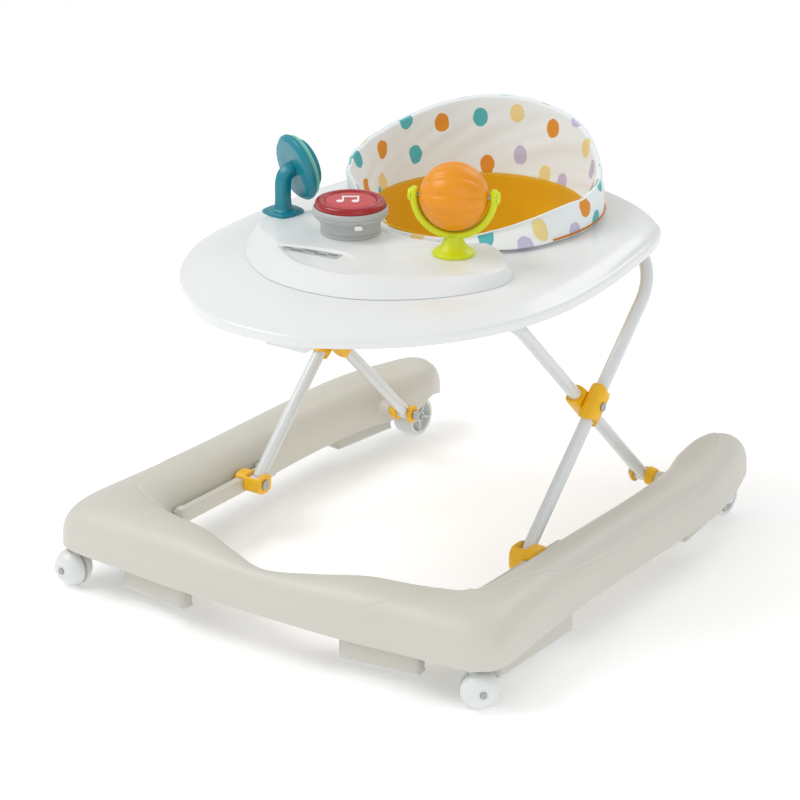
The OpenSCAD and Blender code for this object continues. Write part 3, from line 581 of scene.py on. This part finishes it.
def rounded_rect(cx, cy, hw, hh, r, turn=0.0, n=8):
    pts = []
    for qx, qy, a0 in ((1, 1, 0), (-1, 1, 90), (-1, -1, 180), (1, -1, 270)):
        for k in range(n + 1):
            a = math.radians(a0 + 90 * k / n)
            pts.append((qx * (hw - r) + r * math.cos(a), qy * (hh - r) + r * math.sin(a)))
    c, q = math.cos(math.radians(turn)), math.sin(math.radians(turn))
    return [(cx + x * c - y * q, cy + x * q + y * c) for x, y in pts]

# label strip in the recess, with plain bars instead of print
label = plate("label_strip", rounded_rect(-53, -165.5, 41, 8.5, 2.5, 7), DECK + 13.6, DECK + 14.4, 0.2)
place(label, "music_grey", "tray")
for i, (dx, dy, w) in enumerate(((-29, 1.5, 6), (-14, -2.5, 8), (1, 2.5, 9), (17, -2, 8), (30, 2, 6))):
    spot = rounded_rect(-53 + dx, -165.5 + dy + dx * 0.12, w, 1.5, 1.0, 7)
    bar = plate("label_bar_%d" % i, spot, DECK + 14.3, DECK + 14.6, 0.1)
    place(bar, "label_ink", "tray", record_slot="music_grey")

# ------------------------------------------------------------------ seat cloth
def table(rows, w):
    """Smooth value of a periodic table of (angle, value) at w degrees."""
    w = (w + 110) % 360 - 110
    a = np.array([r[0] for r in rows], float)
    v = np.array([r[1] for r in rows], float)
    aa = np.concatenate([a - 360, a, a + 360])
    vv = np.concatenate([v, v, v])
    k = int(np.searchsorted(aa, w, side="right")) - 1
    t = (w - aa[k]) / max(aa[k + 1] - aa[k], 1e-9)
    return cr(vv[k - 1], vv[k], vv[k + 1], vv[k + 2], t)

RIM_H = [(-110, 7), (-90, 6), (-72, 8), (-60, 13), (-50, 19), (-33, 28), (-10, 38), (0, 40), (10, 43), (20, 47), (30, 51),
         (40, 57), (50, 67), (60, 79), (70, 88), (80, 94), (90, 98), (100, 101), (120, 101), (140, 94), (160, 83),
         (180, 73), (196, 65), (208, 58), (219, 46), (230, 30), (240, 17)]
FOOT_OUT = [(-110, 1), (-75, 2), (-60, 7), (-45, 14), (-30, 11), (-15, 5), (0, 3), (60, 2), (150, 2), (180, 4), (195, 9),
            (210, 18), (224, 19), (236, 9)]
TOP_OUT = [(-110, -8), (-75, -10), (-50, -11), (-33, -10), (-10, -6), (0, -2), (20, 0), (60, 0), (150, 0), (180, 2),
           (198, 7), (214, 11), (228, 2), (240, -6)]

def wave(w, seed, k0=3, k1=12):
    """Periodic ripple at w radians with harmonics k0 to k1, the same every run."""
    r = np.random.default_rng(seed)
    return sum(r.normal() / k * math.sin(k * w + r.uniform(0, 6.28)) for k in range(k0, k1))

SEAMS = [38, -22, 214]
CREASES = ((203, 2.4), (219, 3.4), (231, 2.6), (187, 1.2))
def wall_section(deg):
    """Cross-section of the padded wall at an angle: outer face, rolled top, inner face; (r, z) about the seat's axis."""
    w = math.radians(deg)
    H = table(RIM_H, deg) - 4.4
    f, tp = table(FOOT_OUT, deg), table(TOP_OUT, deg)
    thick = 7.5
    seam = sum(math.exp(-((((deg - s + 180) % 360) - 180) / 1.3) ** 2) for s in SEAMS)
    pucker = sum(math.exp(-((((deg - s + 180) % 360) - 180) / 6.0) ** 2) for s in SEAMS)
    outer = []
    for v in np.linspace(0, 1, 20):
        flare = f * (1 - v) ** 2.2 + tp * v ** 1.2
        bulge = (2.0 + 0.02 * H) * math.sin(math.pi * v) * (1 - 0.6 * pucker)
        bulge -= 1.3 * seam * math.sin(math.pi * min(v + 0.1, 1))
        fold = 1.5 * wave(w + 0.5 * v, 3) * v + 0.7 * wave(2 * w - v, 9) * math.sin(math.pi * v)
        fold *= 0.5 if H > 50 else 0.9
        crease = sum(d * math.exp(-((deg + 9 * v - a) / 3.2) ** 2) for a, d in CREASES)
        outer.append((SEAT_R + flare + bulge + fold - crease * math.sin(math.pi * min(v * 0.7 + 0.15, 1)),
                      (H - 3) * v + 1.0 * wave(w, 5) * v - 0.5 * crease * v))
    tx, tz = outer[-1]
    roll = [(tx - thick / 2 * (1 - math.cos(a)), tz + thick / 2 * math.sin(a))
            for a in np.linspace(0, math.pi, 10)[1:]]
    inner = []
    ix, iz = roll[-1]
    for v in np.linspace(1, 0, 22)[1:]:
        foot = 129.5
        r = foot + (ix - foot) * (v ** 0.75)
        ripple = 1.4 * wave(w * 1.5 + 2 * v, 21) + 0.8 * wave(3 * w + 4 * v, 23)
        r += ripple * math.sin(math.pi * v) + 1.2 * seam * math.sin(math.pi * v)
        crease = sum(1.4 * d * math.exp(-((deg + 12 * v - a - 5) / 3.6) ** 2) for a, d in CREASES)
        r -= crease * math.sin(math.pi * v) ** 0.7
        inner.append((max(r, 129.0), iz * v))
    return outer, roll, inner

def seat_wall():
    """Rings and UVs of the padded wall, and the index where its inner face starts."""
    K = 360
    rings, uvs = [], []
    for k in range(K):
        deg = -110 + 360 * k / K
        w = math.radians(deg)
        outer, roll, inner = wall_section(deg)
        ring, uv = [], []
        arc = (deg + 110) * math.pi / 180 * 0.15
        for idx, (r, z) in enumerate(outer + roll + inner):
            ring.append([r * math.cos(w), SEAT[1] + r * math.sin(w), WALL_FOOT + z])
            uv.append((arc, z * MM))
        rings.append(ring)
        uvs.append(uv)
    return rings, uvs, len(outer) + len(roll) // 2

def with_uv(name, rings, uvs, turn=None):
    rings = np.asarray(rings, float)
    uvs = np.asarray(uvs, float)
    k, n, _ = rings.shape
    verts = rings.reshape(-1, 3) * MM
    faces, fuv = [], []
    per = uvs[1, 0, 0] - uvs[0, 0, 0]
    for i in range(k):
        a, b = i * n, ((i + 1) % k) * n
        for j in range(n):
            j1 = (j + 1) % n
            faces.append((a + j, a + j1, b + j1, b + j))
            ua, ub = uvs[i], uvs[(i + 1) % k]
            off = k * per if i + 1 == k else 0.0
            up = 1.0 if turn is not None and turn <= j < n - 1 else 0.0
            fuv += [(ua[j][0], ua[j][1] + up), (ua[j1][0], ua[j1][1] + up),
                    (ub[j1][0] + off, ub[j1][1] + up), (ub[j][0] + off, ub[j][1] + up)]
    me = bpy.data.meshes.new(name)
    me.from_pydata([tuple(v) for v in verts], [], faces)
    me.update()
    lay = me.uv_layers.new(name="UVMap")
    lay.data.foreach_set("uv", np.array(fuv, np.float32).ravel())
    bm = bmesh.new()
    bm.from_mesh(me)
    bmesh.ops.recalc_face_normals(bm, faces=bm.faces)
    for f in bm.faces:
        f.smooth = True
    bm.to_mesh(me)
    bm.free()
    o = bpy.data.objects.new(name, me)
    bpy.context.scene.collection.objects.link(o)
    return o

r, uv, turn = seat_wall()
wall = with_uv("seat_wall", r, uv, turn)
place(wall, "seat_fabric", "tray", "seat_back")

def strip(name, pts, r, slot, body="tray", n=10):
    o = sweep(name, pts, r, n=n)
    me = o.data
    lay = me.uv_layers.new(name="UVMap")
    co = np.array([me.vertices[l.vertex_index].co[:] for l in me.loops])
    lay.data.foreach_set("uv", np.column_stack([co[:, 0] + co[:, 1], co[:, 2] - 0.2]).astype(np.float32).ravel())
    return place(o, slot, body, record_slot="pouch_fabric" if slot != "seat_fabric" else "seat_fabric")

def on_wall(deg, part, share, out=0.0, up=0.0):
    """A point on the wall's outer face (part 0), top roll (1) or inner face (2)."""
    sec = wall_section(deg)[part]
    r, z = sec[int(round(share * (len(sec) - 1)))]
    w = math.radians(deg)
    return [(r + out) * math.cos(w), SEAT[1] + (r + out) * math.sin(w), WALL_FOOT + z + up]

strip("top_piping", [on_wall(a, 1, 0.3, 0.2, 0.2) for a in np.linspace(-75, 245, 321)], 1.1, "seat_fabric")
strip("foot_binding", [on_wall(a, 0, 0.04, 0.5, 0.6) for a in np.linspace(-22, 40, 90)], 1.3, "binding")
strip("rear_binding", [on_wall(a, 0, 0.04, 0.5, 0.6) for a in np.linspace(46, 200, 160)], 1.3, "binding")
for i, sdeg in enumerate((38, -22)):
    strip("seam_%d" % i, [on_wall(sdeg, 2, v, -0.3, 0) for v in np.linspace(0.02, 0.96, 30)], 0.7, "seat_fabric")

def pouch():
    """Sling below the ring: one cloth with two round leg holes."""
    rim, top = HOLE_R - 8.6, DECK + 6.5
    prof = fillet([(rim, 0), (rim, -30), (rim - 8, -60), (rim - 30, -95), (rim - 62, -128), (rim - 98, -146),
                   (0.0, -150)], 14, 5)
    P = np.array(prof)
    d = np.concatenate([[0], np.cumsum(np.linalg.norm(np.diff(P, axis=0), axis=1))])
    tt = np.linspace(0, d[-1], 44)
    P = np.stack([np.interp(tt, d, P[:, k]) for k in range(2)], 1)
    K = 180
    verts = []
    for k in range(K):
        w = 2 * math.pi * k / K
        for j, (r, z) in enumerate(P):
            s = tt[j] / d[-1]
            ripple = 3.4 * wave(w, 31, 4, 16) + 2.4 * wave(w + 3 * s, 33, 6, 20)
            rr = r + ripple * math.sin(math.pi * min(s * 1.2, 1)) * (1 if s > 0.1 else s * 10) - 0.6
            verts.append([max(rr, 0.4) * math.cos(w), SEAT[1] + max(rr, 0.4) * math.sin(w), top + z])
    n = len(P)
    V = np.array(verts)
    faces, uvs = [], []
    for k in range(K):
        for j in range(n - 1):
            faces.append((k * n + j, k * n + j + 1, ((k + 1) % K) * n + j + 1, ((k + 1) % K) * n + j))
    me = bpy.data.meshes.new("pouch_cloth")
    me.from_pydata([tuple(v * MM) for v in V], [], faces)
    me.update()
    bm = bmesh.new()
    bm.from_mesh(me)
    bmesh.ops.recalc_face_normals(bm, faces=bm.faces)
    for f in bm.faces:
        f.smooth = True
    uvl = bm.loops.layers.uv.new("UVMap")
    for f in bm.faces:
        for l in f.loops:
            co = l.vert.co
            l[uvl].uv = (math.atan2(co.y - SEAT[1] * MM, co.x) * 0.12, co.z)
    bm.to_mesh(me)
    bm.free()
    o = bpy.data.objects.new("pouch_cloth", me)
    bpy.context.scene.collection.objects.link(o)
    modifier(o, "SOLIDIFY", thickness=0.0012, offset=-1)
    cutters = []
    for side in (-1, 1):
        c = (side * 58, SEAT[1] - 50, top - 112.0)
        out = (math.sin(LEG_TILT) * side, 0, math.cos(LEG_TILT))
        hole = lathe("leg_hole", [(0, -4), (46.5, -4), (46.5, 160), (0, 160)], c, out, n=120)
        modifier(o, "BOOLEAN", operation="DIFFERENCE", object=hole, solver="EXACT")
        cutters.append(hole)
    me = bpy.data.meshes.new_from_object(o.evaluated_get(bpy.context.evaluated_depsgraph_get()))
    o.modifiers.clear()
    o.data = me
    for hole in cutters:
        bpy.data.objects.remove(hole)
    return o

pch = pouch()
place(pch, "pouch_fabric", "tray", "seat_pouch")

# ------------------------------------------------------------------ rounded yellow clips, shoes and brackets
def shift(o, loc=(0, 0, 0), turn=0.0):
    """Moves a piece drawn round its own origin to its place, in mm, turned about z."""
    o.data.transform(Matrix.Translation(Vector(loc) * MM) @ Matrix.Rotation(math.radians(turn), 4, "Z"))
    return o

def carve(o, lo, hi):
    """Cuts a box between two corners, in mm, out of a piece."""
    lo, hi = np.asarray(lo, float), np.asarray(hi, float)
    v = [[(lo, hi)[i & 1][0], (lo, hi)[(i >> 1) & 1][1], (lo, hi)[(i >> 2) & 1][2]] for i in range(8)]
    sides = [(0, 1, 3, 2), (4, 6, 7, 5), (0, 4, 5, 1), (2, 3, 7, 6), (0, 2, 6, 4), (1, 5, 7, 3)]
    c = finish_mesh("cutter", v, sides)
    m = modifier(o, "BOOLEAN", operation="DIFFERENCE", object=c, solver="EXACT")
    me = bpy.data.meshes.new_from_object(o.evaluated_get(bpy.context.evaluated_depsgraph_get()))
    o.modifiers.remove(m)
    o.data = me
    bpy.data.objects.remove(c)
    return o

def power(c, p):
    """c to the power p, keeping its sign: squares off a circle's outline when p is under 1."""
    return math.copysign(abs(c) ** p, c)

def soft_box(name, lo, hi, r, square=3.2, n=48, k=14):
    """Rounded block between two heights of x, with a softened outline in y and z given by lo and hi."""
    cx, cy = (lo[1] + hi[1]) / 2, (lo[2] + hi[2]) / 2
    hy, hz = (hi[1] - lo[1]) / 2, (hi[2] - lo[2]) / 2
    rings = []
    for i in range(k + 1):
        t = i / k
        x = lo[0] + (hi[0] - lo[0]) * t
        edge = min(x - lo[0], hi[0] - x)
        inset = r - math.sqrt(max(r * r - max(r - edge, 0) ** 2, 0)) if edge < r else 0
        ring = []
        for j in range(n):
            w = 2 * math.pi * j / n
            c, q = math.cos(w), math.sin(w)
            ring.append([x, cx + (hy - inset) * power(c, 2 / square), cy + (hz - inset) * power(q, 2 / square)])
        rings.append(ring)
    return loft(name, rings, angle=50)

def clip(name, side, x0, rear):
    """Wrap round a tube at the crossing, its ends drawn out into points at the edges."""
    rings = []
    for t in np.linspace(-1, 1, 17):
        half_x, half_t = 12.0, 12.4
        pinch = 1 - 0.10 * max(0, abs(t) - 0.7) / 0.3
        ring = []
        for j in range(56):
            w = 2 * math.pi * j / 56
            c, q = math.cos(w), math.sin(w)
            a = half_x * pinch * power(c, 0.62)
            b = half_t * pinch * power(q, 0.72)
            along_leg = t * (19.5 + 5.5 * (abs(b) / half_t) ** 2.2)
            u = LEG + along_leg
            if rear:
                y, z = -84 + u * math.cos(ANG) - b * math.sin(ANG), 72 + u * math.sin(ANG) + b * math.cos(ANG)
            else:
                y, z = 214 - u * math.cos(ANG) - b * math.sin(ANG), 72 + u * math.sin(ANG) - b * math.cos(ANG)
            x = x0 + max(min(a, 8.6 if not rear else 12.0), -8.6 if rear else -12.0)
            ring.append([side * x, y, z])
        rings.append(ring)
    return loft(name, rings, angle=60)

for side, tag in ((-1, "l"), (1, "r")):
    place(clip("clip_inner_" + tag, side, 180, False), "yellow_plastic", "front_frame", "cross_block_inner_" + tag)
    place(clip("clip_outer_" + tag, side, 198, True), "yellow_plastic", "rear_legs", "cross_block_outer_" + tag)
    shoe = soft_box("shoe_" + tag, (side * 184.6, -102, 55.5), (side * 221.4, -66, 89), 5)
    place(shoe, "yellow_plastic", "sliders", "slider_" + tag)
for side, tag in ((-1, "l"), (1, "r")):
    xs = sorted((side * 189.2, side * 206.8))
    carve(bpy.data.objects["shoe_" + tag], (xs[0], -94.2, 60.8), (xs[1], -40, 110))
    xs = sorted((side * 208.8, side * 219.2))
    carve(bpy.data.objects["shoe_" + tag], (xs[0], -130, 59.6), (xs[1], -40, 78.4))
    paint(bpy.data.objects["shoe_" + tag], "yellow_plastic")
    cheek = lathe("cheek_" + tag, fillet([(0, 0), (11.4, 0), (12.4, 20), (10, 35), (0, 35)], [0, 4, 8, 6, 0]),
                  (side * 166, 214, 72), (side, 0, 0), n=72)
    place(cheek, "yellow_plastic", "base", "pivot_bracket_" + tag)
    ys = sorted((side * 171, side * 189))
    carve(cheek, (ys[0], 184, 40), (ys[1], 224.5, 104))
    paint(cheek, "yellow_plastic")
    boss = lathe("arm_boss_" + tag, fillet([(0, 0), (8.8, 0), (9.8, 10), (15, 28), (0, 28)], [0, 2.5, 8, 0, 0]),
                 (side * 200.5, 214, 71), (side, 0, 0), n=72)
    place(boss, "base_grey", "base")

# ------------------------------------------------------------------ toys
BALL = (92, -80, TOY_Z + 70)
groove = lambda w, k, wide: math.exp(-(((w / (2 * math.pi) * k) % 1 - 0.5) / wide) ** 2)
half_round = [(40 * math.sin(t), -40 * math.cos(t)) for t in np.linspace(0.05, math.pi - 0.05, 61)]
ball = lathe("ball", [(0.0, -40.0)] + half_round + [(0.0, 40.0)], (0, 0, 0), (1, 0, 0), n=288, angle=60,
             wobble=lambda r, h, w: r * (1 - 0.045 * groove(w, 10, 0.15) - 0.012 * groove(w, 10, 0.34)))
place(shift(ball, BALL, BALL_TURN), "orange_plastic", "ball", "orange_ball")

arc = [(-46.6, 0, h) for h in (9.6, 9.2, 8.4, 7.0, 5.0, 2.5)]
arc += [(46.6 * math.cos(t), 0, 46.6 * math.sin(t)) for t in np.linspace(math.pi, 2 * math.pi, 65)]
arc += [(46.6, 0, h) for h in (2.5, 5.0, 7.0, 8.4, 9.2, 9.6)]
fat = [0.25, 0.55, 0.78, 0.93, 1.0, 1.0]
hoop = sweep("ball_hoop", arc, [*fat, *([1.0] * 65), *fat[::-1]], n=40,
             squash=lambda c, q: (7.4 * power(c, 0.55), 4.5 * power(q, 0.7)), angle=50)
place(shift(hoop, BALL, BALL_TURN), "lime_plastic", "tray", "ball_bracket")
foot = lathe("ball_foot", fillet([(0, -70), (25, -70), (25, -66.5), (17, -62), (10.5, -52), (9, -47), (0, -47)],
                                 [0, 1, 3, 6, 6, 0, 0]), (0, 0, 0), n=96)
place(shift(foot, BALL, BALL_TURN), "lime_plastic", "tray")
for s in (-1, 1):
    knob = fillet([(0, 0), (7.5, 0), (6.8, 3.2), (0, 3.2)], [0, 0, 2, 0])
    hub = lathe("ball_hub_%s" % ("l" if s < 0 else "r"), knob, (s * 50.2, 0, 0), (s, 0, 0), n=48)
    place(shift(hub, BALL, BALL_TURN), "lime_plastic", "tray")

POST = np.array([-160.0, -72.0])
diamond = []
for w in np.linspace(0, 2 * math.pi, 96, endpoint=False):
    c, q = math.cos(w), math.sin(w)
    r = 1 / (abs(c) ** 1.35 + abs(q) ** 1.35) ** (1 / 1.35)
    w2 = w + math.radians(35)
    diamond.append([POST[0] + 25 * r * math.cos(w2), POST[1] + 25 * r * math.sin(w2)])
place(plate("spinner_plate", diamond, TOY_Z, TOY_Z + 4.2, edge=1.6), "teal_plastic", "tray")
ax = np.array([0.40, 0.89, 0.23]) / np.linalg.norm([0.40, 0.89, 0.23])
top = np.array([0.0, 0.0, 49.0])
path = [np.array([0.0, 0.0, h]) for h in (3, 4, 5.5, 8, 12, 18, 25, 32)]
for t in np.linspace(0, 1, 22)[1:]:
    path.append((1 - t) ** 2 * path[7] + 2 * t * (1 - t) * np.array([0, 0, 51.0]) + t * t * (top + ax * 13))
width = [13.5, 12, 10.6, 9.5, 8.9] + [8.6] * (len(path) - 5)

def channelled(c, q):
    """Rounded square with a groove along one face."""
    k = (abs(c) ** 3.2 + abs(q) ** 3.2) ** (1 / 3.2)
    dip = 0.26 * math.exp(-((math.atan2(q, c) + math.pi * 0.75) / 0.42) ** 2)
    return c / k * (1 - dip), q / k * (1 - dip)

stem = sweep("spinner_stem", path, width, n=96, squash=channelled, angle=50)
place(shift(stem, (POST[0], POST[1], TOY_Z)), "teal_plastic", "tray", "spinner_post")

hub_at = np.array([POST[0], POST[1], TOY_Z + 49]) + ax * 22.6
face = fillet([(3, 0), (38.5, 0), (38.5, 6), (3, 6)], [0, 0.6, 2, 0])
place(lathe("spinner_ring", face, hub_at, ax, n=120), "mint_plastic", "spinner", "spinner_face")
back_disc = fillet([(3, 5.8), (16, 5.8), (17, 8.2), (30, 8.6), (30.5, 13), (27, 15), (3, 15)],
                   [0, 1, 1.5, 1.2, 2, 2, 0])
place(lathe("spinner_back", back_disc, hub_at, ax, n=120), "teal_plastic", "spinner")

MUS = (-52, -84, TOY_Z)
shell = [(0, 0), (35.6, 0), (35.6, 4), (34.6, 4.4), (34.6, 5.2), (35.4, 5.6), (35.6, 13), (39.5, 18.5), (44, 22),
         (45, 25.4), (44.2, 25.8), (44.2, 26.6), (45, 27), (44.6, 31), (43, 33), (42.4, 33), (42.4, 27), (0, 27)]
rounding = [0, 0.8, 0.3, 0.2, 0.2, 0.3, 5, 4, 3, 0.4, 0.2, 0.2, 0.4, 2, 0.6, 0.2, 0.2, 0]
place(lathe("music_body", fillet(shell, rounding), MUS, n=144), "music_grey", "tray", "music_housing")
rim = [(30, 1), (41.9, 1), (41.9, 7), (40.2, 9.6), (37, 10.6), (33.5, 10.3), (31.6, 9.2), (31.2, 8), (30, 8)]
# the rim takes the darker red copy: painted shade on the button's side
place(lathe("button_rim", fillet(rim, [0, 0.5, 2, 2, 2, 1, 0.8, 0.4, 0]), (MUS[0], MUS[1], TOY_Z + 30), n=144),
      "button_red_painted_shade", "button", "red_button", record_slot="button_red")
cap = [(0, 0.5), (31, 0.5), (31, 8.2), (30, 9.1), (27, 9.45), (0, 9.5)]
place(lathe("button_cap", fillet(cap, [0, 0.2, 1, 1, 2, 0]), (MUS[0], MUS[1], TOY_Z + 30), n=144),
      "button_red", "button")
paint(nodes["pad_screws"], "pad_screw")

# ------------------------------------------------------------------ pads with rounded ends
PADS = {"f": (162, -325, 8.5, 104), "m": (282, -202, 90, 160), "r": (256, 218, 97, 106)}   # x, y, turn, length
for tag, (cx, cy, turn, long) in PADS.items():
    for side, hand in ((-1, "l"), (1, "r")):
        pts = rounded_rect(0, 0, long / 2, 11, 8.5, n=10)
        w = math.radians(turn)
        ring = [[side * (cx + x * math.cos(w) - y * math.sin(w)), cy + x * math.sin(w) + y * math.cos(w)]
                for x, y in pts]
        pad = plate("pad_" + tag + hand, ring, 21.5, 49.8, edge=1.4)
        place(pad, slot_of["pad_bracket_" + tag + hand], "base", "pad_bracket_" + tag + hand)

# ------------------------------------------------------------------ floor, light, camera
floor_mat = bpy.data.materials.new("floor")
floor_mat.use_nodes = True
ft = floor_mat.node_tree
fb = ft.nodes["Principled BSDF"]
L(ft, mixrgb(ft, noise(ft, 3.0), (0.90, 0.90, 0.90, 1), (0.93, 0.93, 0.93, 1)), fb.inputs["Base Color"])
fb.inputs["Roughness"].default_value = 0.9
fb.inputs["Emission Color"].default_value = (1, 1, 1, 1)
fb.inputs["Emission Strength"].default_value = 0.24
me = bpy.data.meshes.new("floor")
me.from_pydata([(-20, -20, -0.0005), (20, -20, -0.0005), (20, 20, -0.0005), (-20, 20, -0.0005)], [], [(0, 1, 2, 3)])
floor = bpy.data.objects.new("floor", me)
bpy.context.scene.collection.objects.link(floor)
floor.data.materials.append(floor_mat)

world = bpy.data.worlds.new("studio")
bpy.context.scene.world = world
world.use_nodes = True
bg = world.node_tree.nodes["Background"]
bg.inputs[0].default_value = (1, 1, 1, 1)
bg.inputs[1].default_value = 0.68

def area_light(name, loc, target, size, power, col=(1, 1, 1)):
    d = bpy.data.lights.new(name, "AREA")
    d.shape = "DISK"
    d.size = size
    d.energy = power
    d.color = col
    o = bpy.data.objects.new(name, d)
    bpy.context.scene.collection.objects.link(o)
    o.location = loc
    o.rotation_euler = (Vector(target) - Vector(loc)).to_track_quat("-Z", "Y").to_euler()
    return o

area_light("key", (-1.5, -1.2, 2.6), (0, 0, 0.3), 1.8, 32)
area_light("fill", (2.4, -1.4, 1.3), (0, 0, 0.3), 1.8, 9)
area_light("rim", (0.3, 2.4, 2.2), (0, 0, 0.35), 1.5, 11)

cam = bpy.data.cameras.new("cam")
cam.lens = 154.4
cam.sensor_width = 36
cam.clip_end = 50
co = bpy.data.objects.new("cam", cam)
bpy.context.scene.collection.objects.link(co)
back = Vector((0.53236, -0.76254, 0.36764)).normalized()
rightv = Vector((0.81996, 0.57245, 0.0)).normalized()
upv = back.cross(rightv)
co.matrix_world = Matrix(((rightv.x, upv.x, back.x, 2.19039), (rightv.y, upv.y, back.y, -3.25920 + 0.065),
                          (rightv.z, upv.z, back.z, 1.73035), (0, 0, 0, 1)))
bpy.context.scene.camera = co
bpy.context.scene.view_settings.view_transform = "Standard"
